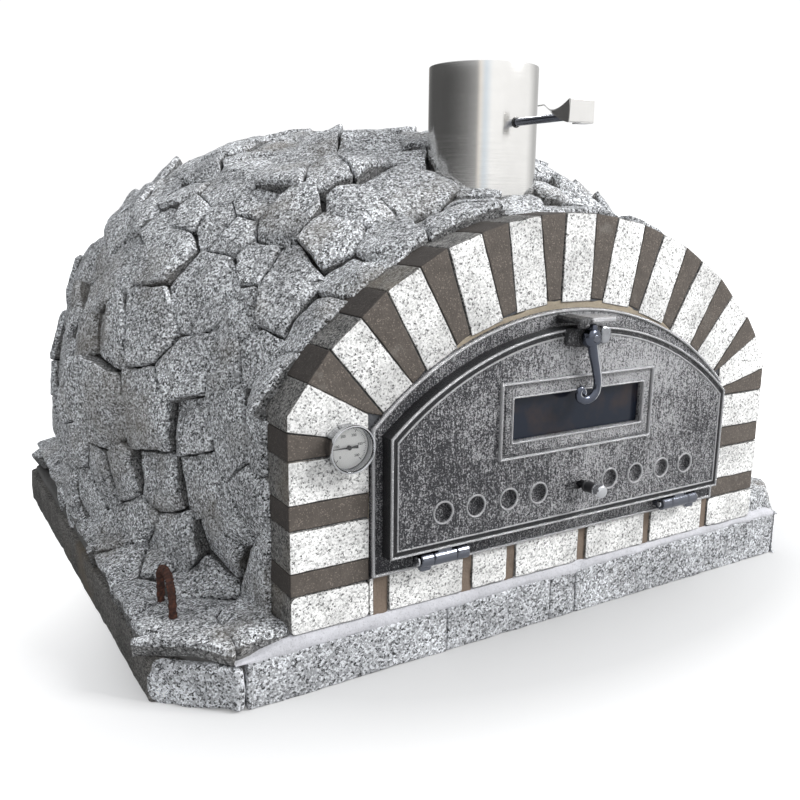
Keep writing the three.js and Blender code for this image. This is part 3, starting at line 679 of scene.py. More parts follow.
# ------------------------------------------------------------------ the dome's surface
def dome_gap(p):
    """Rough distance of points outside the dome's mean stone surface."""
    x, y, z = p[..., 0], p[..., 1] - DOME_Y, p[..., 2] - DOME_SPRING
    out = np.hypot(x, y) / DOME_R
    up = np.maximum(z, 0) / DOME_RISE
    g = (out**DOME_POWER + up**DOME_POWER) ** (1 / DOME_POWER)
    return (g - 1) * 515.0


def arch_gap(p):
    """Rough distance outside the masonry that carries the arch."""
    x, z = p[..., 0], p[..., 2] - BED_TOP
    d = np.maximum(np.hypot(x, np.maximum(z, 0)) - (ARCH_R + 9), np.abs(x) - (ARCH_W + 9))
    return np.maximum(d, (p[..., 1] + 60) * 0.35)


def surface(p):
    """The dome and the arch's masonry in one, the valley between them filled."""
    a, b = dome_gap(p), arch_gap(p)
    k = 70.0
    h = np.clip(0.5 + 0.5 * (b - a) / k, 0, 1)
    return b * (1 - h) + a * h - k * h * (1 - h)


def slope(p, eps=1.5):
    g = np.zeros_like(p)
    for k in range(3):
        d = np.zeros(3)
        d[k] = eps
        g[..., k] = (surface(p + d) - surface(p - d)) / (2 * eps)
    return g


DOME_HEART = np.array([0.0, -60.0, 150.0])
CLADDING_INSIDE = 452.0


def along_rays(direction, level):
    """Where rays from inside the dome meet the surface, or a level above it."""
    near = np.full(direction.shape[:-1], 60.0)
    far = np.full(direction.shape[:-1], 900.0)
    for _ in range(24):
        middle = (near + far) / 2
        inside = surface(DOME_HEART + direction * middle[..., None]) < level
        near = np.where(inside, middle, near)
        far = np.where(inside, far, middle)
    return DOME_HEART + direction * near[..., None]


def unit(v):
    return v / np.linalg.norm(v, axis=-1, keepdims=True)


def dome_points(count):
    """Random points spread over the surface."""
    z = rng.uniform(-0.3, 1.0, count)
    a = rng.uniform(0, 2 * math.pi, count)
    r = np.sqrt(np.maximum(0, 1 - z**2))
    p = along_rays(np.column_stack([r * np.cos(a), r * np.sin(a), z]), 0.0)
    keep = (p[:, 2] > 60) & (p[:, 1] > FRONT + 54)
    keep &= np.hypot(p[:, 0], p[:, 1] - FLUE_Y) > FLUE_R + 2
    return p[keep]


def spread(points, near, far, placed=0):
    """Seeds from random points, each kept its own distance away from the others. The
    first ones are given and keep the least distance."""
    reach = near + (far - near) * rng.uniform(0, 1, len(points)) ** 1.3
    reach[:placed] = near
    kept, reaches = [], []
    for p, r in zip(points, reach):
        if kept:
            d = np.linalg.norm(np.array(kept) - p, axis=1)
            if np.any(d < (np.array(reaches) + r) / 2):
                continue
        kept.append(p)
        reaches.append(r)
    return np.array(kept), np.array(reaches)


# ------------------------------------------------------------------ split stones
def clipped(poly, normal, limit):
    """The part of a polygon where point . normal is under the limit."""
    made = []
    for k in range(len(poly)):
        a, b = poly[k], poly[(k + 1) % len(poly)]
        da, db = a @ normal - limit, b @ normal - limit
        if da <= 0:
            made.append(a)
        if da * db < 0:
            made.append(a + (b - a) * (da / (da - db)))
    return made


def corner_of(a, b, c, d):
    """Where the lines a to b and d to c meet beyond b and c, if they do."""
    u, v = b - a, d - c
    det = u[0] * v[1] - u[1] * v[0]
    if abs(det) < 1e-6:
        return None
    t = ((c - a)[0] * v[1] - (c - a)[1] * v[0]) / det
    return a + u * t if t > 1 else None


def without_short_edges(poly, shortest):
    """Runs the neighbours of a short edge on until they meet, which leaves a stone
    with fewer and sharper corners."""
    poly = [np.array(p) for p in poly]
    k, since = 0, 0
    while len(poly) > 3 and since <= len(poly):
        n = len(poly)
        a, b, c, d = (poly[(k + j) % n] for j in (-1, 0, 1, 2))
        since += 1
        if np.linalg.norm(c - b) < shortest:
            meeting = corner_of(a, b, c, d)
            if meeting is not None and np.linalg.norm(meeting - (b + c) / 2) < 1.2 * shortest:
                poly[k % n] = meeting
                poly.pop((k + 1) % n)
                since = 0
        k = (k + 1) % len(poly)
    return poly


def cell(k, frame, seeds, normals, reaches, joint, limits):
    """The outline of stone k in its own plane, between its neighbours and the limits.
    Distances run along the bend of the surface, so that stones meet where it folds."""
    a, b = frame
    poly = [np.array(c) * 170.0 for c in ((-1.0, -1.0), (1.0, -1.0), (1.0, 1.0), (-1.0, 1.0))]
    offsets = seeds - seeds[k]
    near = np.argsort(np.linalg.norm(offsets, axis=1))[1:26]
    for j in near:
        w = np.array([offsets[j] @ a, offsets[j] @ b])
        flat = np.linalg.norm(w)
        length = np.linalg.norm(offsets[j])
        if flat < 1 or length > 300:
            continue
        length /= math.sqrt(max(0.3, (1 + normals[k] @ normals[j]) / 2))
        weight = (reaches[k] ** 2 - reaches[j] ** 2) * 0.2
        poly = clipped(poly, w / flat, (length**2 + weight) / (2 * length) - joint / 2)
        if len(poly) < 3:
            return None
    for normal, limit in limits:
        poly = clipped(poly, normal, limit)
        if len(poly) < 3:
            return None
    return without_short_edges(poly, 0.4 * reaches[k])


def stone(poly, origin, frame, normal, lift, tilt, thickness=34.0, seed=0, relief=1.0):
    """One split slab: a jagged outline, an uneven faceted top and broken sides."""
    points, outs = rounded(poly, 2.0, 5.5, 2)
    n = len(points)
    a, b = frame
    flat = np.column_stack([points, np.full(n, seed * 7.3)])
    jag = fractal(flat, 30, 3, seed) * 3.2 + noise(flat, 5, seed + 3) * 0.8
    points = points + outs * jag[:, None]
    centre = points.mean(0)
    facets = []
    for _ in range(3):
        turn = rng.uniform(0, 2 * math.pi)
        d = np.array([math.cos(turn), math.sin(turn)])
        facets.append((d, rng.uniform(0.25, 0.85) * np.max(points @ d), rng.uniform(0.1, 0.55)))
    rings = []

    def ring(scale, drop, inset=0.0):
        q = centre + (points - outs * inset - centre) * scale
        flat_q = np.column_stack([q, np.full(n, seed * 5.1)])
        swell = fractal(flat_q, 46, 3, seed + 50) * 2.2 + fractal(flat_q, 11, 3, seed + 90) * 1.0
        height = lift + q @ tilt + swell * relief - (q**2).sum(1) / 1450.0 * relief
        for d, start, steep in facets:
            height = height - steep * relief * np.maximum(0, q @ d - start)
        height = np.where(height < -7, -7 + 0.2 * (height + 7), height) - drop
        rings.append(origin + q[:, :1] * a + q[:, 1:] * b + height[:, None] * normal)

    for scale in (0.16, 0.34, 0.5, 0.64, 0.77, 0.88, 0.95):
        ring(scale, 0.0)
    ring(0.985, 0.6)
    ring(1.0, 2.2)
    ring(1.0, 7.0, -0.6)
    ring(1.0, 15.0, 0.8)
    ring(1.0, thickness, 3.0)
    mats = np.zeros(len(rings) - 1, int)
    # The broken sides take material 1, the darker copy of the top's granite: painted shade.
    mats[9:] = 1
    return loft(rings, mats=mats, cap_mats=(0, 1))


def frame_at(normal):
    helper = np.array([0.0, 0.0, 1.0]) if abs(normal[2]) < 0.8 else np.array([0.0, 1.0, 0.0])
    a = unit(np.cross(helper, normal))
    return a, np.cross(normal, a)


def plane_limit(frame, direction, room, least=0.0):
    """A plane at a distance from a stone, as a limit in the stone's own plane. There is
    none where the two planes are nearly parallel."""
    flat = np.array([direction @ axis for axis in frame])
    size = np.linalg.norm(flat)
    return [(flat / size, room / size)] if size > least else []


def dome_limits(at, frame):
    """Planes that the cladding stops at: the arch's face, the rim and the flue."""
    before_arch = at[1] - (FRONT + 51 + rng.uniform(-1, 3))
    limits = plane_limit(frame, np.array([0.0, -1.0, 0.0]), before_arch, 0.2)
    limits += plane_limit(frame, np.array([0.0, 0.0, -1.0]), at[2] - 58.0, 0.2)
    out = np.array([at[0], at[1] - FLUE_Y, 0.0])
    distance = np.linalg.norm(out)
    if distance < FLUE_R + 170 and at[2] > 400:
        limits += plane_limit(frame, -out / distance, distance - FLUE_R - 3)
    return limits


def dome_stones():
    points = dome_points(16000)
    beside_arch = points[:, 1] < FRONT + 92
    points = np.concatenate([points[beside_arch], points[~beside_arch]])
    seeds, reaches = spread(points, 40.0, 122.0)
    normals = unit(slope(seeds))
    made = []
    for k, at in enumerate(seeds):
        frame = frame_at(normals[k])
        limits = dome_limits(at, frame)
        poly = cell(k, frame, seeds, normals, reaches, rng.choice([0.5, 2.0, 3.5, 6.0]), limits)
        if poly is None or len(poly) < 3:
            continue
        tilt = rng.normal(0, 0.12, 2)
        lift = rng.uniform(-5.0, 9.0)
        made.append(stone(poly, at, frame, normals[k], lift, tilt, seed=k + 1))
    return made


def dome_backing():
    """The rough bed between the stones, a little below their tops, open at the mouth
    and at the flue."""
    columns, rows = 440, 150
    a = full_turn(columns)
    t = np.linspace(-0.25, math.pi / 2, rows)[:, None]
    flat = np.cos(t) * np.ones(columns)
    direction = np.stack([flat * np.cos(a), flat * np.sin(a), np.sin(t) * np.ones(columns)], -1)
    level = -16.0 + 2.5 * fractal(direction * 560, 34, 4, 5)
    p = along_rays(direction, level)
    p[..., 1] = np.maximum(p[..., 1], FRONT + 53)
    p[..., 2] = np.maximum(p[..., 2], 57.0)
    from_flue = np.hypot(p[..., 0], p[..., 1] - FLUE_Y)
    near = (from_flue < FLUE_R) & (from_flue > FLUE_R - 10) & (p[..., 2] > 400)
    outside = (FLUE_R / np.maximum(from_flue, 1))[..., None]
    flue_axis = np.array([0.0, FLUE_Y])
    p[..., :2] = np.where(near[..., None], flue_axis + (p[..., :2] - flue_axis) * outside, p[..., :2])
    shape = loft(p, caps=(False, False))
    x, y, z = shape.verts.T
    mouth = (np.hypot(x, np.maximum(z - BED_TOP, 0)) < ARCH_R - 12) & (np.abs(x) < ARCH_W - 8)
    mouth &= y < FRONT + 56
    pipe = (np.hypot(x, y - FLUE_Y) < FLUE_R + 0.5) & (z > 400)
    return shape.without(mouth | pipe)


def ledge_height(x, y):
    """Height of the rim: nearly level along the slab's edge, rising to the dome's foot
    and most of all in the rear corners."""
    from_dome = math.hypot(x, y - DOME_Y) - 500.0
    back = min(1.0, max(0.0, (y - 40.0) / 160.0))
    rise = min(1.0, max(0.0, 1 - from_dome / (75.0 + 45.0 * back)))
    beside = min(1.0, max(0.0, 1 - (abs(x) - 392.0) / 70.0)) if y < -400 else 0.0
    return 83.0 + 12.0 * back + (24.0 + 46.0 * back) * rise + 8.0 * beside


SLAB_RIGHT = [(455, -528), (533, -455), (533, 341), (346, 528)]
SLAB_OUTLINE = np.array([(-455, -528)] + SLAB_RIGHT + [(-x, y) for x, y in SLAB_RIGHT[:0:-1]], float)


def slab_sides():
    for k in range(len(SLAB_OUTLINE)):
        a, b = SLAB_OUTLINE[k], SLAB_OUTLINE[(k + 1) % len(SLAB_OUTLINE)]
        d = (b - a) / np.linalg.norm(b - a)
        yield a, np.array([d[1], -d[0]])


# The stones at the front left corner lie as they were laid, the rest fall at random.
CORNER_SEEDS = [(-484, -480), (-417, -482), (-474, -409), (-514, -338), (-510, -244)]


def ledge_seeds():
    candidates = rng.uniform((-533, -528), (533, 528), (6000, 2))
    candidates = np.concatenate([np.array(CORNER_SEEDS, float), candidates])
    inside = np.ones(len(candidates), bool)
    for a, out in slab_sides():
        inside &= (candidates - a) @ out < -14
    far = np.hypot(candidates[:, 0], candidates[:, 1] - DOME_Y) > 500
    block_side = (np.abs(candidates[:, 0]) > 410) | (candidates[:, 1] > -420)
    sett = (candidates[:, 0] > 380) & (candidates[:, 1] < -425)
    candidates = candidates[inside & far & block_side & ~sett]
    points = np.array([(x, y, ledge_height(x, y)) for x, y in candidates])
    return spread(points, 56.0, 112.0, len(CORNER_SEEDS))


def ledge_limits(at, frame):
    """Planes round a rim stone: the slab's edges, the inside of the dome's cladding and,
    by the pillar, the pillar's side."""
    planes = [(out, (corner - at[:2]) @ out - rng.uniform(0, 3)) for corner, out in slab_sides()]
    from_dome = at[:2] - (0.0, DOME_Y)
    reach = np.linalg.norm(from_dome)
    planes.append((-from_dome / reach, reach - CLADDING_INSIDE))
    if at[1] < -400:
        planes.append((np.array([-math.copysign(1.0, at[0]), 0.0]), abs(at[0]) - ARCH_W - 2))
        planes.append((np.array([0.0, -1.0]), at[1] - FRONT - 9))
    limits = []
    for out, room in planes:
        limits += plane_limit(frame, np.array([out[0], out[1], 0.0]), room)
    return limits


def ledge_stones():
    """Slabs and fragments round the rim, sloping up to the dome's foot."""
    seeds, reaches = ledge_seeds()
    normals = []
    for x, y, _ in seeds:
        dx = (ledge_height(x + 5, y) - ledge_height(x - 5, y)) / 10
        dy = (ledge_height(x, y + 5) - ledge_height(x, y - 5)) / 10
        normals.append(unit(np.array([-dx, -dy, 1.0])))
    made = []
    for k, at in enumerate(seeds):
        frame = frame_at(normals[k])
        poly = cell(k, frame, seeds, normals, reaches, rng.uniform(2, 6), ledge_limits(at, frame))
        if poly is None or len(poly) < 3:
            continue
        tilt = rng.normal(0, 0.045, 2)
        thickness = 21.0 if at[1] < -430 else 34.0
        shape = stone(poly, at, frame, normals[k], rng.uniform(-3, 3), tilt, thickness, k + 700, 0.8)
        # A stone under the arch would stand in the chamber, so it is left out once made.
        if at[1] >= -380 or abs(at[0]) >= ARCH_W:
            made.append(shape)
    return made


# ------------------------------------------------------------------ slab and beds
def slab_and_rim(mats):
    inset = SLAB_OUTLINE.copy()
    inset[:2, 1] += 26
    slab = block(inset, 0, SLAB_TOP, 2.5, 12.0, 5.0, 3.0, 3).roughened(1.1, 26, 3, 9)
    piece("rough_slab", slab.painted(0), mats["slab"], "oven", ["base_slab"])
    bed = block(SLAB_OUTLINE * 0.985, 40, 64, 4.0, 14.0, 6.0, 0, 4).roughened(1.6, 60, 2, 8)
    piece("rim_mortar", bed.painted(0), mats["rim_mortar"], "oven")
    # The stones' sides take the darker copy of the granite: painted shade.
    looks = [mats["split"], mats["split_painted_shade"]]
    piece("rim_stones", ledge_stones(), looks, "oven", ["ledge_stones"])


def facing_top(x):
    """The facing stands higher towards the right, where its mortar line thins."""
    return float(np.interp(x, [-455, -150, 0, 200, 455], [56.5, 57.5, 61, 65.5, 67.5]))


def facings(mats):
    y0, y1 = FRONT, FRONT + 31
    cuts = [-443, -178, -11, 34, 455]
    stones = []
    for k, (a, b) in enumerate(zip(cuts, cuts[1:])):
        right = b - 1.2
        poly = [(a, 0), (right, 0), (right, facing_top(right)), (a, facing_top(a))]
        shape = front_block(poly, y0, y1, edge=2.0, corner=3.5, spacing=6.0, chip=4.0, seed=k + 20)
        stones.append(shape.roughened(0.9, 30, 3, k))
    piece("facing_slabs", stones, [mats["facing"], mats["facing"]], "oven", ["front_facing"])
    for side, name in ((-1, "left_corner_facing"), (1, "right_corner_facing")):
        near = 445.5 if side < 0 else 456.5
        corner = [(near, -528), (455, -528), (533, -455), (525, -434), (near, -500)]
        corner = [(side * x, y) for x, y in corner]
        top = 53.5 if side < 0 else 67.0
        shape = outward(block(corner, 0, top, 4.5, 6.0, 6.0, 4.5, 31)).roughened(1.8, 26, 3, 44)
        piece(name + "_slab", shape, [mats["corner"], mats["corner"]], "oven", [name])


def mortar_line(mats):
    """The trowelled bed between the facing and the arch, uneven along both edges."""
    n = 190
    x = np.linspace(-455, 452, n)
    along = np.column_stack([x, x * 0, x * 0])
    wave = fractal(along, 60, 3, 71)
    ripple = fractal(along, 14, 3, 37)
    low = np.array([facing_top(v) for v in x]) - 1.5 + 2.0 * wave
    top = np.full(n, BED_TOP + 1.2) + 1.4 * ripple
    slope_in = np.clip((x + 460) / 75, 0, 1) * np.clip((480 - x) / 40, 0, 1)
    top = low + (top - low) * np.where(np.abs(x) > 386, slope_in, 1)
    rings = []
    face_curve = [(14, -0.4), (1.5, -0.1), (-0.8, 0.15), (-1.2, 0.5), (0.4, 0.85), (4, 1.0)]
    for dy, rise in face_curve + [(60, 1.0), (100, 1.0)]:
        face = FRONT + 1.0 + dy + 0.9 * wave + 0.6 * ripple
        rings.append(np.column_stack([x, face, low + (top - low) * rise]))
    under = rings[-1].copy()
    under[:, 2] = SLAB_TOP - 3
    shape = swept(rings + [under]).roughened(0.6, 9, 3, 3)
    piece("bed_line", shape, mats["bed"], "oven", ["mortar_bed"])


def corner_sett(mats):
    """A small squared granite block on the rim beside the right pillar."""
    poly = [(393, -519), (449, -519), (505, -466), (500, -440), (393, -440)]
    shape = outward(block(poly, 60, 101, 4.0, 7.0, 6.0, 3.0, 5)).roughened(2.2, 30, 3, 12)
    piece("corner_sett", shape, [mats["split"], mats["split"]], "oven")


# ------------------------------------------------------------------ the arch
def polar(radius, degrees):
    t = math.radians(degrees)
    return np.array([radius * math.cos(t), BED_TOP + radius * math.sin(t)])


def wedge_point(k, along, across):
    """A point of light wedge k: along its length from the middle, across to its right."""
    t = (k - 5) / 5
    middle = polar((ARCH_R + ARCH_INNER) / 2, 90 + (5 - k) * 11.06 - 1.1 * (1 - t * t))
    u = unit(middle - np.array([0.0, BED_TOP - 40.0]))
    return middle + u * along + np.array([u[1], -u[0]]) * across


def first_joint(side):
    x, z = polar(ARCH_R - 0.5, 141.8)
    return np.array([side * abs(x), z]), np.array([side * OPENING_W, BED_TOP + 245.0])


def light_wedge(k):
    if k in (0, 10):
        side = -1 if k == 0 else 1
        outer, inner = first_joint(side)
        spring = BED_TOP + math.sqrt(ARCH_R**2 - ARCH_W**2)
        return [
            (side * ARCH_W, BED_TOP + 236), (side * OPENING_W, BED_TOP + 213), inner, outer,
            (side * ARCH_W, spring),
        ]
    h, half = 24.4, 54.7
    return [wedge_point(k, a * half, b * h) for a, b in ((-1, -1), (-1, 1), (1, 1), (1, -1))]


def dark_wedge(k):
    h, half = 25.2, 54.7
    lo, li = (wedge_point(k, half, h), wedge_point(k, -half, h)) if k else first_joint(-1)
    if k == 9:
        ro, ri = first_joint(1)
    else:
        ro, ri = wedge_point(k + 1, half, -h), wedge_point(k + 1, -half, -h)
    li = li + (lo - li) * 0.03
    ri = ri + (ro - ri) * 0.03
    return [lo, li, ri, ro]


def ring_stones(mats):
    back = FRONT + 100
    # The sides of the setts and bricks take darker copies: painted shade, with a stain on the setts.
    light = [mats["sawn"], mats["sett_side_stain_and_shade"]]
    dark = [mats["brick"], mats["brick_side"]]
    for k in range(11):
        proud = float(rng.uniform(-0.8, 0.8))
        shape = front_block(light_wedge(k), FRONT + proud, back, edge=1.6, chip=2.4, seed=k + 60)
        shape.roughened(0.45, 20, 3, k)
        piece(f"light_wedge_{k + 1}", shape, light, "oven", [f"arch_stone_{k + 1}"])
    for k in range(10):
        proud = float(rng.uniform(0.2, 1.6))
        shape = front_block(dark_wedge(k), FRONT + proud, back, edge=1.3, chip=1.0, seed=k + 90)
        shape.roughened(0.35, 16, 2, k + 40)
        piece(f"dark_wedge_{k + 1}", shape, dark, "oven", [f"arch_brick_{k + 1}"])


# Bottom and top of each course of a pillar above the bed, and its kind.
COURSES = [
    (0.5, 46.2, "light"), (46.6, 74.0, "dark"), (74.4, 123.2, "light"), (123.6, 153.0, "dark"),
    (153.4, 203.1, "light"),
]


def pillars(mats):
    for side, node in ((-1, "left_pillar"), (1, "right_pillar")):
        light, dark = [], []
        inner, outer = side * (OPENING_W - 0.5), side * ARCH_W
        spans = [((b, t), (b, t), kind) for b, t, kind in COURSES]
        spans.append(((203.5, 235.6), (203.5, 212.6), "dark"))
        for k, ((bo, to), (bi, ti), kind) in enumerate(spans):
            poly = [(outer, bo), (inner, bi), (inner, ti), (outer, to)]
            poly = [(x, BED_TOP + z) for x, z in poly]
            face = FRONT + (float(rng.uniform(-0.6, 0.6)) + (0.8 if kind == "dark" else 0))
            looks = {"edge": 1.7, "corner": 7.0 if k == 0 else 1.8, "chip": 2.2}
            shape = front_block(poly, face, FRONT + 100, seed=k * 3 + 7 + side, **looks)
            shape.roughened(0.45, 20, 3, k + 70 + side)
            (light if kind == "light" else dark).append(shape)
        # The sides of the setts and bricks take darker copies: painted shade, with a stain on the setts.
        piece(node + "_setts", light, [mats["sawn"], mats["sett_side_stain_and_shade"]], "oven", [node])
        piece(node + "_bricks", dark, [mats["brick"], mats["brick_side"]], "oven", [node])


# Left and right of each mortar joint in the sill course.
SILL_JOINTS = [(-284, -264), (-157, -143), (-88, -75), (33, 47), (157, 170), (278, 290)]


def sill(mats):
    edges = [-290.5] + [e for joint in SILL_JOINTS for e in joint] + [290.5]
    setts = []
    for k, (a, b) in enumerate(zip(edges[::2], edges[1::2])):
        if b - a < 4:
            continue
        poly = rectangle(a, BED_TOP + 0.5, b, 123.2)
        face = FRONT + float(rng.uniform(-0.5, 0.8))
        shape = front_block(poly, face, FRONT + 98, edge=2.0, corner=3.5, chip=2.6, seed=k + 130)
        setts.append(shape.roughened(0.5, 18, 3, k + 33))
    # The setts' sides take the stained copy, darkened as painted shade.
    looks = [mats["sawn"], mats["sett_side_stain_and_shade"]]
    piece("sill_setts", setts, looks, "oven", ["sill_course"])
    joints = []
    for k, (a, b) in enumerate(SILL_JOINTS):
        poly = rectangle(a - 1, BED_TOP - 2, b + 1, 123)
        joint = front_block(poly, FRONT + 3.0, FRONT + 96, edge=1.0, seed=k).roughened(0.9, 9, 2, k)
        joints.append(joint)
    piece("sill_joints", joints, mats["rusty_joint"], "oven")


def arch_row(radius, angles, y):
    """Points along an arc of the arch, y behind its face."""
    across, up = radius * np.cos(angles), BED_TOP + radius * np.sin(angles)
    return np.column_stack([across, np.full(len(angles), FRONT + y), up])


def arch_mortar(mats):
    """Sandy mortar between the iron frame and the arch, and thin joints in the ring."""
    angles = np.radians(np.linspace(37.2, 142.8, 110))
    wave = fractal(np.column_stack([np.degrees(angles) * 4, angles * 0, angles * 0]), 26, 3, 15)
    edges = []
    for off, y in ((3, 1.6), (-3, 2.2), (-10, 3.2), (-26, 5.0), (-26, 95), (3, 95)):
        edges.append(arch_row(ARCH_INNER + off + (3.2 * wave if y < 3 else 0), angles, y))
    collar = [swept(edges).roughened(0.6, 9, 3, 4)]
    inner, outer = ARCH_INNER + 1.5, ARCH_R - 3.0
    angles = np.radians(np.linspace(33.5, 146.5, 90))
    corners = ((inner, 2.4), (outer, 2.4), (outer, 97), (inner, 97))
    filler = [swept([arch_row(r, angles, y) for r, y in corners])]
    for side in (-1, 1):
        poly = [(side * 268, 120), (side * 291, 120), (side * 291, 292), (side * 268, 284)]
        collar.append(plain_block(poly, FRONT + 4, FRONT + 96, edge=1.5).roughened(0.5, 12, 2, 3))
        poly = [(side * 293, BED_TOP), (side * 387, BED_TOP), (side * 387, 310), (side * 293, 288)]
        filler.append(plain_block(poly, FRONT + 2.4, FRONT + 97, edge=1.0))
    piece("frame_mortar", collar, mats["sand"], "oven", ["mortar_collar"])
    piece("ring_joints", filler, mats["dark_mortar"], "oven")


def cladding(mats):
    stones = dome_stones()
    for name, low, high in (("front", -600, -150), ("middle", -150, 180), ("rear", 180, 600)):
        group = [shape for shape in stones if low <= shape.verts[:, 1].mean() < high]
        # The stones' sides take the darker copy of the granite: painted shade.
        looks = [mats["split"], mats["split_painted_shade"]]
        piece(f"split_stones_{name}", group, looks, "oven", ["dome_cladding"])
    # The bed takes the near-black granite: painted shade of the crevices.
    piece("dome_pointing", dome_backing(), mats["pointing_painted_shade"], "oven", ["dome_cladding"])


def rebar_loops(mats):
    places = {
        "front_left": (-492, -400.5, 90), "front_right": (492, -400.5, 90), "rear_left": (-425, 420, 45),
        "rear_right": (425, 420, -45),
    }
    half = 23.5
    for name, (x, y, turn) in places.items():
        c, s = math.cos(math.radians(turn)), math.sin(math.radians(turn))
        corners = [(-half, 30), (-half, 70), (-half, 106)]
        for t in np.radians((150, 120, 90, 60, 30)):
            corners.append((half * math.cos(t), 106.5 + half * math.sin(t)))
        corners += [(half, 106), (half, 70), (half, 30)]
        path = smooth_path([(x + h * c, y + h * s, z) for h, z in corners], 150)
        radii = 4.5 + 0.75 * (np.sin(np.arange(150) * 1.35) > 0.25)
        shape = tube(path, radii, 12).roughened(0.35, 6, 2, 5)
        piece(f"ribbed_loop_{name}", shape, mats["rust"], "oven", [f"lifting_loop_{name}"], 60)


# ------------------------------------------------------------------ door and frame
def door_outline(w, bottom, side, top):
    """Points round a door shape: sill, right side, segmental arch, left side."""
    rise = top - side
    r = (w * w + rise * rise) / (2 * rise)
    spring = math.acos(w / r)
    angles = np.linspace(spring, math.pi - spring, 72)
    arc = np.column_stack([r * np.cos(angles), top - r + r * np.sin(angles)])
    sill_points = [(x, bottom) for x in np.linspace(-w, w, 40)]
    right = [(w, z) for z in np.linspace(bottom, side, 14)[1:-1]]
    left = [(-w, z) for z in np.linspace(side, bottom, 14)[1:-1]]
    return np.array(sill_points + right + arc.tolist() + left)


def grown(spec, off):
    """A door shape, or a rectangle where there are only three sizes, made larger."""
    if len(spec) == 3:
        w, bottom, top = spec
        return box_outline(w + off, bottom - off, top + off)
    w, bottom, side, top = spec
    return door_outline(w + off, bottom - off, side + off * 0.6, top + off)


def band(outlines):
    """A skin over outlines in X and Z, each at its own depth."""
    rings = [np.column_stack([o[:, 0], np.full(len(o), y), o[:, 1]]) for o, y in outlines]
    return loft(rings, **HOLLOW)


def bead(spec, off, face, width, height):
    """A half-round bead along an outline, its ridge `off` outside or inside it."""
    steps = np.radians(np.linspace(0, 180, 8))
    rows = [(off + width / 2 * math.cos(t), face - height * math.sin(t)) for t in steps]
    rows += [(off - width / 2, face + 3), (off + width / 2, face + 3)]
    return band([(grown(spec, o), y) for o, y in rows])


def box_outline(w, bottom, top):
    """Points round a rectangle with rounded corners, as many for every size."""
    points, r = [], 2.0
    for cx, cz, start in ((w, bottom, -90), (w, top, 0), (-w, top, 90), (-w, bottom, 180)):
        at = np.array([cx - math.copysign(r, cx), cz + (r if cz == bottom else -r)])
        for t in np.radians(start + np.linspace(0, 90, 5)):
            points.append(at + r * np.array([math.cos(t), math.sin(t)]))
    return np.array(points)


# Half width, bottom, top of the straight side and top of the arch.
FLANGE = (289.5, 124.2, 303, 423)
FRAME_OPENING = (258, 142, 287, 392)
DOOR = (276, 150, 294.5, 402)
FLANGE_FACE, DOOR_FACE, DOOR_BACK = FRONT - 4, FRONT - 24, FRONT - 5
VENTS, VENT_Z, VENT_R = [60.5, 107.5, 157, 204], 196, 12
HINGE_Y, HINGE_Z = FRONT - 18, 140.0


def between(a, b, t):
    return door_outline(*[p + (q - p) * t for p, q in zip(a, b)])


def iron_frame(mats):
    rows = [
        (grown(FLANGE, -0.6), FRONT + 9), (grown(FLANGE, 0.0), FLANGE_FACE + 2.0),
        (grown(FLANGE, -0.9), FLANGE_FACE + 0.4), (grown(FLANGE, -2.2), FLANGE_FACE),
        (between(FLANGE, FRAME_OPENING, 0.5), FLANGE_FACE + 0.3),
        (between(FLANGE, FRAME_OPENING, 0.93), FLANGE_FACE),
        (between(FLANGE, FRAME_OPENING, 1.0), FLANGE_FACE + 2),
        (door_outline(*FRAME_OPENING), FRONT + 96), (grown(FRAME_OPENING, 6), FRONT + 96),
        (grown(FRAME_OPENING, 6), FRONT + 9),
    ]
    rim = bead(FLANGE, -2.4, FLANGE_FACE, 4.2, 2.2)
    piece("frame_plate", band(rows), mats["iron"], "oven", ["door_frame"])
    # The bead takes the bright copy of the iron: a painted highlight along its ridge.
    piece("frame_bead", rim, mats["iron_painted_highlight"], "oven", ["door_frame"])
    knuckles = []
    for side in (-1, 1):
        for a, b in ((166, 183.5), (216.5, 234)):
            knuckles.append(barrel(side, a, b))
            x0, x1 = sorted((side * a, side * b))
            foot = rectangle(x0 + 1, HINGE_Z - 6, x1 - 1, HINGE_Z + 3)
            knuckles.append(plain_block(foot, HINGE_Y + 4, FLANGE_FACE + 2, edge=1.5))
        x0, x1 = sorted((side * 217.5, side * 233))
        lug = rectangle(x0, HINGE_Z - 14, x1, HINGE_Z - 3)
        knuckles.append(plain_block(lug, HINGE_Y - 3, HINGE_Y + 6, edge=2.2, corner=3))
    piece("frame_knuckles", knuckles, mats["dark_steel"], "oven", ["door_frame"])


def barrel(side, a, b):
    x0, x1 = sorted((side * a, side * b))
    profile = [(4.3, x0), (8.0, x0), (9.2, x0 + 1.3), (9.2, x1 - 1.3), (8.0, x1), (4.3, x1)]
    return lathe(profile, (HINGE_Y, HINGE_Z), "x", 32, **HOLLOW)


def mesh_of(curve):
    holder = bpy.data.objects.new("curve", curve)
    mesh = bpy.data.meshes.new_from_object(holder)
    bpy.data.objects.remove(holder)
    return mesh


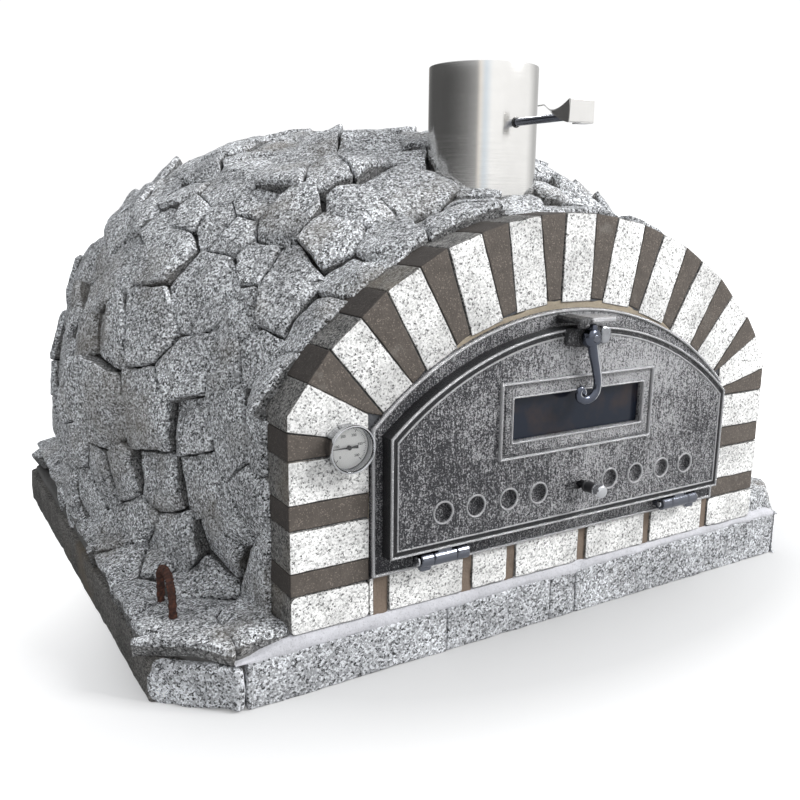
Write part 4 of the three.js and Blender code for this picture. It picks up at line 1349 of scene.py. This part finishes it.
def plate_with_holes(outline, holes, y0, y1, bevel=0.6):
    """A flat plate with holes, drawn in X and Z, from a filled 2D curve."""
    curve = bpy.data.curves.new("plate", "CURVE")
    curve.dimensions = "2D"
    curve.fill_mode = "BOTH"
    curve.extrude = (y1 - y0) / 2 * MM - bevel * MM
    curve.bevel_depth = bevel * MM
    curve.bevel_resolution = 1
    curve.offset = -bevel * MM
    for points in [outline] + holes:
        spline = curve.splines.new("POLY")
        spline.points.add(len(points) - 1)
        spline.use_cyclic_u = True
        flat = np.column_stack([points * MM, np.zeros(len(points)), np.ones(len(points))])
        spline.points.foreach_set("co", flat.ravel())
    mesh = mesh_of(curve)
    count = len(mesh.vertices)
    co = np.zeros(count * 3)
    mesh.vertices.foreach_get("co", co)
    co = co.reshape(-1, 3) / MM
    verts = np.column_stack([co[:, 0], (y0 + y1) / 2 + co[:, 2], co[:, 1]])
    by_size = {3: [], 4: []}
    for p in mesh.polygons:
        corners = list(p.vertices)
        if len(corners) in by_size:
            by_size[len(corners)].append(corners[::-1])
    return Shape(verts, [np.array(f) for f in by_size.values() if f])


def circle(x, z, r):
    a = full_turn(32)
    return np.column_stack([x + r * np.cos(a), z + r * np.sin(a)])


def door_rows(rows):
    """A band round the door from how far each row is grown and its depth from the face."""
    return band([(grown(DOOR, off), DOOR_FACE + y) for off, y in rows])


def door_leaf(mats):
    holes = [circle(side * x, VENT_Z, VENT_R) for x in VENTS for side in (-1, 1)]
    slot, _ = rounded(rectangle(-17, 191, 17, 201), 5.0, 6.0, 6)
    window = box_outline(107, 269, 322)
    field = plate_with_holes(grown(DOOR, -9), holes + [slot, window], DOOR_FACE + 1.2, DOOR_FACE + 7)
    groove = door_rows([(-8.6, 6), (-8.4, 0.9), (-6.5, 1.3), (-4.2, 0.9), (-3.8, 6)])
    back = DOOR_BACK - DOOR_FACE
    wall = [(-10, 1.4), (-6, 1.5), (-1.2, 1.0), (0, 3.0), (0, back), (-7, back), (-7, 7), (-10, 7)]
    # The groove and the door's side wall take the dark copy of the iron: painted shade.
    piece("door_groove", groove, mats["iron_painted_shade"], "door", ["door_panel"])
    piece("door_field", field, mats["iron"], "door", ["door_panel"])
    piece("door_wall", door_rows(wall), mats["iron_painted_shade"], "door", ["door_panel"])
    beads = bead(DOOR, -2.2, DOOR_FACE + 1.4, 3.2, 2.3)
    rings = [bead(DOOR, -9.8, DOOR_FACE + 1.3, 2.2, 1.3)]
    rim = [(12.0, 7), (12.0, 0.8), (12.7, -0.1), (13.8, -0.3), (14.6, 0.6), (14.9, 2.2), (14.0, 7)]
    for x in VENTS:
        for side in (-1, 1):
            rings.append(lathe(shifted(rim, DOOR_FACE), (side * x, VENT_Z), "y", 40, **HOLLOW))
    # The beads and vent rims take bright copies of the iron: painted highlights.
    piece("door_beads", beads, mats["iron_painted_highlight"], "door", ["door_panel"])
    piece("vent_rims", rings, mats["iron_rim_painted_highlight"], "door", ["door_panel"])
    door_boss(mats)
    knuckles = []
    for side in (-1, 1):
        knuckles.append(barrel(side, 184, 216))
        x0, x1 = sorted((side * 190, side * 210))
        strap = rectangle(x0, HINGE_Z + 2, x1, 153)
        knuckles.append(plain_block(strap, DOOR_FACE + 0.6, DOOR_FACE + 5, edge=1.4))
    piece("door_knuckles", knuckles, mats["dark_steel"], "door", ["door_panel"])


def door_boss(mats):
    """The cast boss under the latch's pivot and the stop beside it."""
    poly = [(-31, 380), (20, 376), (24, 404), (-31, 402)]
    boss = plain_block(poly, DOOR_FACE - 6.5, DOOR_FACE + 4, edge=3.0, corner=5.0)
    boss.roughened(0.9, 9, 2, 2)
    poly = [(24, 379), (37, 380), (41, 390), (38, 401), (22, 403)]
    stop = plain_block(poly, DOOR_FACE - 7.5, DOOR_FACE + 4, edge=3.4, corner=5.0)
    stop.roughened(0.6, 9, 2, 6)
    # The boss takes the dark copy of the iron: painted shade.
    piece("latch_root", boss, mats["iron_painted_shade"], "door", ["door_panel"])
    piece("latch_stop", stop, mats["steel"], "door", ["door_panel"])


def door_window(mats):
    face = DOOR_FACE - 0.4
    bright = [bead((127, 246, 343), -2.2, face, 3.8, 3.6), bead((107, 269, 322), 1.8, face, 3.0, 3.2)]
    rows = [
        (122, 251, 338, 0.6), (119.5, 253.5, 335.5, 0.6), (118.5, 254.5, 334.5, -1.8),
        (109.5, 266, 325, -1.2), (109.0, 266.6, 324.4, 1.0), (122, 251, 338, 1.0),
    ]
    channel = band([(box_outline(w, bottom, top), face + y) for w, bottom, top, y in rows])
    # The window's beads take the bright copy of the iron: a painted highlight.
    piece("window_beads", bright, mats["iron_painted_highlight"], "door", ["window_frame"])
    piece("window_band", channel, mats["iron"], "door", ["window_frame"])
    pane = plain_block(rectangle(-112, 264, 112, 327), DOOR_FACE + 7.3, DOOR_FACE + 11.3, edge=0.5)
    piece("window_pane", pane, mats["glass"], "door", ["window_glass"])


def vents(mats):
    holes = [circle(side * x + 24, VENT_Z, VENT_R) for x in VENTS for side in (-1, 1)]
    outline = np.array(rectangle(-222, 180, 246, 212), float)
    slide = plate_with_holes(outline, holes, DOOR_FACE + 7.3, DOOR_FACE + 10.3, 0.4)
    piece("vent_slide", slide, mats["iron"], "vent", ["vent_slider"])
    stem = [(6.6, 13), (7.2, 14), (7.2, 28), (8.2, 29), (8.2, 31), (5.0, 32), (4.0, 34), (4.0, 45)]
    cap = [(4.0, -0.6), (6.6, 0), (8.2, 1.2), (8.8, 3), (8.8, 9.5), (8.0, 10.6), (8.4, 11.4), (8.4, 12.6)]
    centre, front = (12, VENT_Z), DOOR_FACE - 38
    stem = lathe(shifted(stem, front), centre, "y", 32)
    cap = lathe(shifted(cap + [(7.0, 13.4)], front), centre, "y", 40)
    piece("knob_stem", stem, mats["black"], "vent", ["vent_knob"])
    piece("knob_cap", cap, mats["polished"], "vent", ["vent_knob"])


LATCH_Y, LATCH_Z = -567.0, 390.0

# The swan neck's middle line, to the right of the pivot and up from it.
SWAN = [(-1, 4), (1, -8), (4, -21), (8, -35), (11.5, -48), (13, -58), (11, -67.5), (5, -74)]
SWAN += [(-3, -77), (-11, -76.5), (-17, -72), (-17.5, -65.5), (-13, -62.5), (-9.5, -66), (-11, -69)]


def latch(mats):
    y, z = LATCH_Y, LATCH_Z
    hub = [(3.6, -574.4), (8.0, -573.8), (11.5, -571.4), (13.6, -567.8), (13.2, -562.5), (11.0, -560.6)]
    hub = lathe(hub + [(3.6, -560.4)], (0, z), "y", 14, **HOLLOW).roughened(0.8, 9, 2, 3)
    path = smooth_path([(x, y - 0.5, z + d) for x, d in SWAN], 110)
    t = np.linspace(0, 1, 110)
    radii = np.interp(t, [0, 0.08, 0.35, 0.5, 0.7, 0.84, 1.0], [7.2, 7.4, 5.8, 6.2, 5.0, 4.2, 4.6])
    arm = tube(path, radii, 32, (0.8, 1.0)).roughened(0.35, 8, 2, 5)
    # Painted highlight: faces looking to the right front take polished steel, a sheen on the arm's lit
    # side.
    arm.painted_towards((0.8, -0.6, 0.0), 0.72, 1)
    finger_path = smooth_path([(0, y, z + 6), (0.5, y, z + 12), (0, y - 0.5, z + 17)], 12)
    finger = tube(finger_path, np.interp(np.linspace(0, 1, 12), [0, 0.7, 1], [6.4, 5.4, 3.8]), 14)
    piece("latch_hub", [hub, finger], mats["blued"], "latch", ["latch_handle"], 40)
    piece("latch_arm", arm, [mats["blued"], mats["polished"]], "latch", ["latch_handle"], 60)
    rivet = [(0.3, -576.2), (3.0, -576.0), (4.6, -575.2), (5.0, -574.4), (3.0, -574.0), (3.0, -545.5)]
    rivet = lathe(rivet + [(0.3, -545.4)], (0, z), "y", 32)
    piece("latch_rivet", rivet, mats["dark_steel"], "door", ["latch_pin"])


def keeper(mats):
    back = FLANGE_FACE - 0.3
    poly = [(-9, 409.8), (30, 409.6), (30, 415.6), (-9, 416.0)]
    bar = plain_block(poly, -576, back, edge=1.6, corner=2.4).roughened(0.4, 9, 2, 1)
    poly = [(-30, 409.2), (-7, 409.6), (-6, 416.4), (-31, 416.8)]
    dark = plain_block(poly, -575.6, back, edge=2.4, corner=4.0).roughened(0.9, 8, 2, 4)
    poly = [(-31, 403.8), (-14, 404.2), (-11, 414), (-32, 415.6)]
    lip = plain_block(poly, -576.4, -571.5, edge=2.0, corner=3.5).roughened(0.7, 8, 2, 3)
    foot = plain_block(rectangle(-30, 405.6, 30, 415), FLANGE_FACE - 4, back, edge=1.2)
    # The bar takes the bright copy of the iron, a painted highlight; the root, lip and foot the dark copy,
    # painted shade.
    piece("keeper_shelf", bar, mats["iron_painted_highlight"], "oven", ["latch_keeper"])
    piece("keeper_root", [dark, lip, foot], mats["iron_painted_shade"], "oven", ["latch_keeper"])


def hinge_pins(mats):
    profile = [(0.2, 163.6), (3.2, 163.8), (4.0, 164.8), (4.0, 234.3), (5.4, 234.5), (6.2, 235.6)]
    profile += [(5.8, 237.2), (0.2, 238.0)]
    for side, name in ((-1, "hinge_pin_left"), (1, "hinge_pin_right")):
        rod = lathe([(r, side * x) for r, x in profile], (HINGE_Y, HINGE_Z), "x", 28)
        piece(name + "_rod", rod, mats["polished"], "oven", [name])


# ------------------------------------------------------------------ flue and dial
DAMPER_Z = 654


def flue(mats):
    r, brim = FLUE_R, FLUE_TOP - 0.2
    profile = [(r, 440), (r, 560), (r, 650), (r, 700), (r, FLUE_TOP - 1.4), (r - 0.4, brim)]
    profile += [(r - 1.1, brim), (r - 1.5, FLUE_TOP - 1.4), (r - 1.5, 650), (r - 1.5, 440)]
    pipe = lathe(profile, (0, FLUE_Y), "z", 128, **HOLLOW)
    piece("flue_tube", pipe, mats["stainless"], "oven", ["flue_pipe"])
    bush = shifted([(5.4, -1.4), (6.8, -1.0), (7.4, 1.5), (5.4, 1.5)], FLUE_Y - r)
    bush = lathe(bush, (0, DAMPER_Z), "y", 32, **HOLLOW)
    piece("shaft_bush", bush, mats["black"], "oven", ["flue_pipe"])
    rod = [(0.2, -511.2), (4.2, -511), (5.0, -510), (5.0, -247), (4.2, -246), (0.2, -245.8)]
    rod = lathe(rod, (0, DAMPER_Z), "y", 28)
    piece("damper_rod", rod, mats["dark_steel"], "damper", ["damper_shaft"])
    disc = [(0.2, 5.3), (69.2, 5.3), (70, 5.8), (70, 6.8), (69.2, 7.3), (0.2, 7.3)]
    disc = lathe(disc, (FLUE_Y, DAMPER_Z), "x", 96)
    piece("damper_disc", disc, mats["stainless"], "damper", ["damper_plate"])
    damper_grip(mats)


def sheet_strip(sections, thickness, direction):
    """A bent sheet: rows of points, given thickness along a direction."""
    rows = np.array(sections, float)
    back = rows + np.array(direction) * thickness
    closed = np.concatenate([rows, back[:, ::-1]], axis=1)
    return loft(closed)


def damper_grip(mats):
    """A plate across the end of the shaft, bent back into a tail that narrows."""
    face, z = -511.3, float(DAMPER_Z)
    poly = [(-7, z - 8), (33, z - 7), (33, z + 20), (-6, z + 20)]
    front = plain_block(poly, face - 2, face, edge=0.7, corner=1.2)
    poly = [(12, z - 8.2), (33, z - 7.6), (33, z - 5.8), (12, z - 6.2)]
    lip = plain_block(poly, face - 2, face + 14, edge=0.5)
    rows = []
    for t in np.linspace(0, 1, 22):
        low = z - 8 + 23.5 * min(1, t * 1.25) ** 1.4
        high = max(z + 20 - 9 * math.sin(math.pi * min(1, t * 1.1)) - 3.4 * t, low + 1.6)
        heights = ((-7.4, low), (-6.6, (low + high) / 2), (-7.0, high))
        rows.append([(x + 2.2 * t, face - 1 + 62 * t, height) for x, height in heights])
    shapes = [front, lip, sheet_strip(rows, 1.8, (1, 0, 0))]
    piece("damper_lever", shapes, mats["stainless"], "damper", ["damper_handle"])


DIAL_X, DIAL_Z, DIAL_R = -321.0, 288.0, 27.5
DIAL_FACE = FRONT - 20


def turned_dial(profile, sides):
    """A turned part of the thermometer, its profile counted from the front."""
    return lathe(shifted(profile, DIAL_FACE), (DIAL_X, DIAL_Z), "y", sides)


def thermometer(mats):
    x, z, r, f = DIAL_X, DIAL_Z, DIAL_R, DIAL_FACE
    bezel = shifted([(r - 3.2, 3.6), (r - 2.7, 0.6), (r - 1.6, -0.9), (r - 0.5, -0.6), (r, 1.0)], f)
    bezel += [(r, f + 5.2), (r - 1.2, f + 6.4), (r - 1.5, FRONT - 2.6), (r - 2.2, FRONT - 0.6)]
    bezel += [(3, FRONT - 0.4), (3, -432), (0.4, -432), (0.4, f + 14), (r - 2.6, f + 14), (r - 2.6, f + 5)]
    case = lathe(bezel, (x, z), "y", 72, **HOLLOW)
    piece("dial_case", case, mats["polished"], "oven", ["thermometer_case"], 50)
    disc = turned_dial([(0.3, 12.2), (24.0, 12.2), (24.4, 12.6), (24.4, 13.4), (0.3, 13.4)], 64)
    piece("dial_face", disc, mats["dial"], "oven", ["thermometer_dial"])
    dial_scale(mats)
    lens = [(0.3, 0.7), (8, 0.8), (16, 1.2), (24.4, 2.0), (24.4, 3.3), (0.3, 3.0)]
    piece("dial_cover", turned_dial(lens, 64), mats["lens"], "oven", ["thermometer_lens"])
    hub = turned_dial([(0.2, 7.6), (1.8, 7.8), (2.6, 8.6), (2.6, 11.6), (0.2, 11.7)], 32)
    poly = [(x - 20, z - 0.3), (x, z - 1.1), (x + 4, z - 0.9), (x + 4, z + 0.9), (x, z + 1.1)]
    needle = plain_block(poly + [(x - 20, z + 0.3)], f + 9.4, f + 10.1, edge=0.1, spacing=8)
    poly = [(x + 3, z - 0.9), (x + 11, z - 1.9), (x + 11, z + 1.9), (x + 3, z + 0.9)]
    tail = plain_block(poly, f + 9.4, f + 10.1, edge=0.1, spacing=8)
    shapes = [hub, needle, tail]
    piece("dial_pointer", shapes, mats["black"], "needle", ["thermometer_needle"])


def dial_scale(mats):
    """51 marks and 6 numbers over three quarters of a turn."""
    centre, outer = np.array([DIAL_X, DIAL_Z]), 22.2
    marks = []
    for k in range(51):
        a = math.radians(225 - 270 * k / 50)
        long = 3.6 if k % 10 == 0 else 2.4 if k % 5 == 0 else 1.5
        wide = 0.34 if k % 10 == 0 else 0.18
        u, v = np.array([math.cos(a), math.sin(a)]), np.array([-math.sin(a), math.cos(a)])
        inner, end = centre + u * (outer - long), centre + u * outer
        poly = [inner - v * wide, end - v * wide, end + v * wide, inner + v * wide]
        marks.append(plain_block(poly, DIAL_FACE + 11.9, DIAL_FACE + 12.3, edge=0.05, spacing=50))
    piece("dial_marks", marks, mats["black"], "oven", ["thermometer_dial"])
    for k in range(6):
        a = math.radians(225 - 54 * k)
        at = centre + 14.6 * np.array([math.cos(a), math.sin(a)])
        numeral(str(k * 100), *at, DIAL_FACE + 12.0, mats)


def numeral(text, x, z, y, mats):
    curve = bpy.data.curves.new("numeral", "FONT")
    curve.body = text
    curve.size = 4.2 * MM
    curve.align_x = "CENTER"
    curve.align_y = "CENTER"
    curve.extrude = 0.1 * MM
    mesh = mesh_of(curve)
    mesh.transform(Matrix.Translation((x * MM, y * MM, z * MM)) @ Matrix.Rotation(math.pi / 2, 4, "X"))
    mesh.materials.clear()
    mesh.materials.append(mats["black"])
    made = linked("numeral_" + text, mesh)
    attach(made, "oven")


# ------------------------------------------------------------------ what stays from the CAD
def carried_over(frame, mats):
    """Materials for the hidden masonry, which shows when the door is down."""
    looks = {
        "hearth_floor": "hearth", "inner_dome": "vault", "throat_vault": "vault",
        "floor_insulation": "insulation", "insulation_layer": "insulation",
    }
    for name, key in looks.items():
        mesh = frame["nodes"][name].data
        mesh.materials.clear()
        mesh.materials.append(mats[key])


# ------------------------------------------------------------------ studio
def lamp(name, at, target, size, power):
    light = bpy.data.lights.new(name, "AREA")
    light.energy = power
    light.size = size
    made = linked(name, light)
    made.location = at
    made.rotation_euler = (Vector(target) - Vector(at)).to_track_quat("-Z", "Y").to_euler()


def floor():
    """A pale floor that shows white by a glow seen only by the camera, and takes the oven's shadow as
    a soft grey. The glow fades in a ball in front of the oven: a painted shadow there.
    """
    mesh = bpy.data.meshes.new("floor")
    corners = [(x, y, 0) for x, y in rectangle(-40, -40, 40, 40)]
    mesh.from_pydata(corners, [], [(0, 1, 2, 3)])
    n = Nodes("pale_floor")
    seen = n.node("LightPath").outputs["Is Camera Ray"]
    # Painted shadow: the glow falls to nothing in a ball in front of the oven.
    near = n.ball((0.91, 2.0, 1.0), (-0.045, 0.92, 0.0))
    glow_with_painted_shadow = n.ramp(near, [(0.0, 0.9), (0.3, 0.5), (0.6, 0.12), (0.85, 0.0)])
    n.set(Base_Color=(0.49, 0.49, 0.49, 1), Roughness=0.9, Emission_Color=(1, 1, 1, 1))
    n.set(Emission_Strength=n.maths("MULTIPLY", seen, glow_with_painted_shadow))
    mesh.materials.append(n.material)
    linked("floor", mesh)


def room_light(world):
    """A plain studio: white behind the oven, a dark left wall and a bright right one."""
    n = Nodes("room", world.node_tree)
    way = n.node("TexCoord").outputs["Generated"]

    def towards(direction):
        made = n.node("VectorMath", operation="DOT_PRODUCT")
        n.put(made.inputs[0], way)
        made.inputs[1].default_value = direction
        return n.maths("ADD", n.maths("MULTIPLY", made.outputs["Value"], 0.5), 0.5)

    greys = [(0.0, 0.08), (0.05, 0.11), (0.2, 0.22), (0.36, 0.4)]
    tints = [(0.41, (1.05, 0.98, 0.9)), (0.5, (0.8, 0.9, 1.0)), (0.62, 1.2), (1.0, 1.1)]
    walls = n.ramp(towards((0.856, -0.517, 0.0)), greys + tints)
    behind = n.ramp(towards((0.517, 0.856, 0.0)), [(0.62, 1.0), (0.85, 0.5)])
    walls = n.times(walls, behind)
    height = n.node("SeparateXYZ")
    n.put(height.inputs[0], way)
    sky = n.mix(n.ramp(height.outputs["Z"], [(0.35, 0.0), (0.9, 1.0)]), walls, (1.25, 1.27, 1.3))
    seen = n.node("LightPath").outputs["Is Camera Ray"]
    n.put(world.node_tree.nodes["Background"].inputs[0], n.mix(seen, sky, (1.05, 1.05, 1.05)))


def studio():
    world = bpy.data.worlds.new("studio")
    bpy.context.scene.world = world
    world.use_nodes = True
    room_light(world)
    floor()
    lamp("key", (2.6, -3.0, 3.2), (0, 0, 0.3), 1.4, 190)
    bpy.context.scene.view_settings.view_transform = "Standard"


def camera():
    data = bpy.data.cameras.new("camera")
    data.lens = 39.0
    data.sensor_width = 36.0
    made = linked("camera", data)
    yaw, pitch, roll = (math.radians(a) for a in (31.14, 12.81, 0.495))
    forward = Vector((math.sin(yaw) * math.cos(pitch), math.cos(yaw) * math.cos(pitch), -math.sin(pitch)))
    right = Vector((math.cos(yaw), -math.sin(yaw), 0))
    up = right.cross(forward)
    rolled_right = right * math.cos(roll) + up * math.sin(roll)
    rolled_up = up * math.cos(roll) - right * math.sin(roll)
    turn = Matrix((rolled_right, rolled_up, -forward)).transposed().to_4x4()
    made.matrix_world = Matrix.Translation((-0.7453, -1.3463, 0.5493)) @ turn
    bpy.context.scene.camera = made


# ------------------------------------------------------------------ the whole oven
def build():
    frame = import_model()
    mats = all_materials()
    slab_and_rim(mats)
    facings(mats)
    mortar_line(mats)
    corner_sett(mats)
    ring_stones(mats)
    pillars(mats)
    sill(mats)
    arch_mortar(mats)
    cladding(mats)
    rebar_loops(mats)
    iron_frame(mats)
    door_leaf(mats)
    door_window(mats)
    vents(mats)
    latch(mats)
    keeper(mats)
    hinge_pins(mats)
    flue(mats)
    thermometer(mats)
    carried_over(frame, mats)
    camera()
    studio()


build()
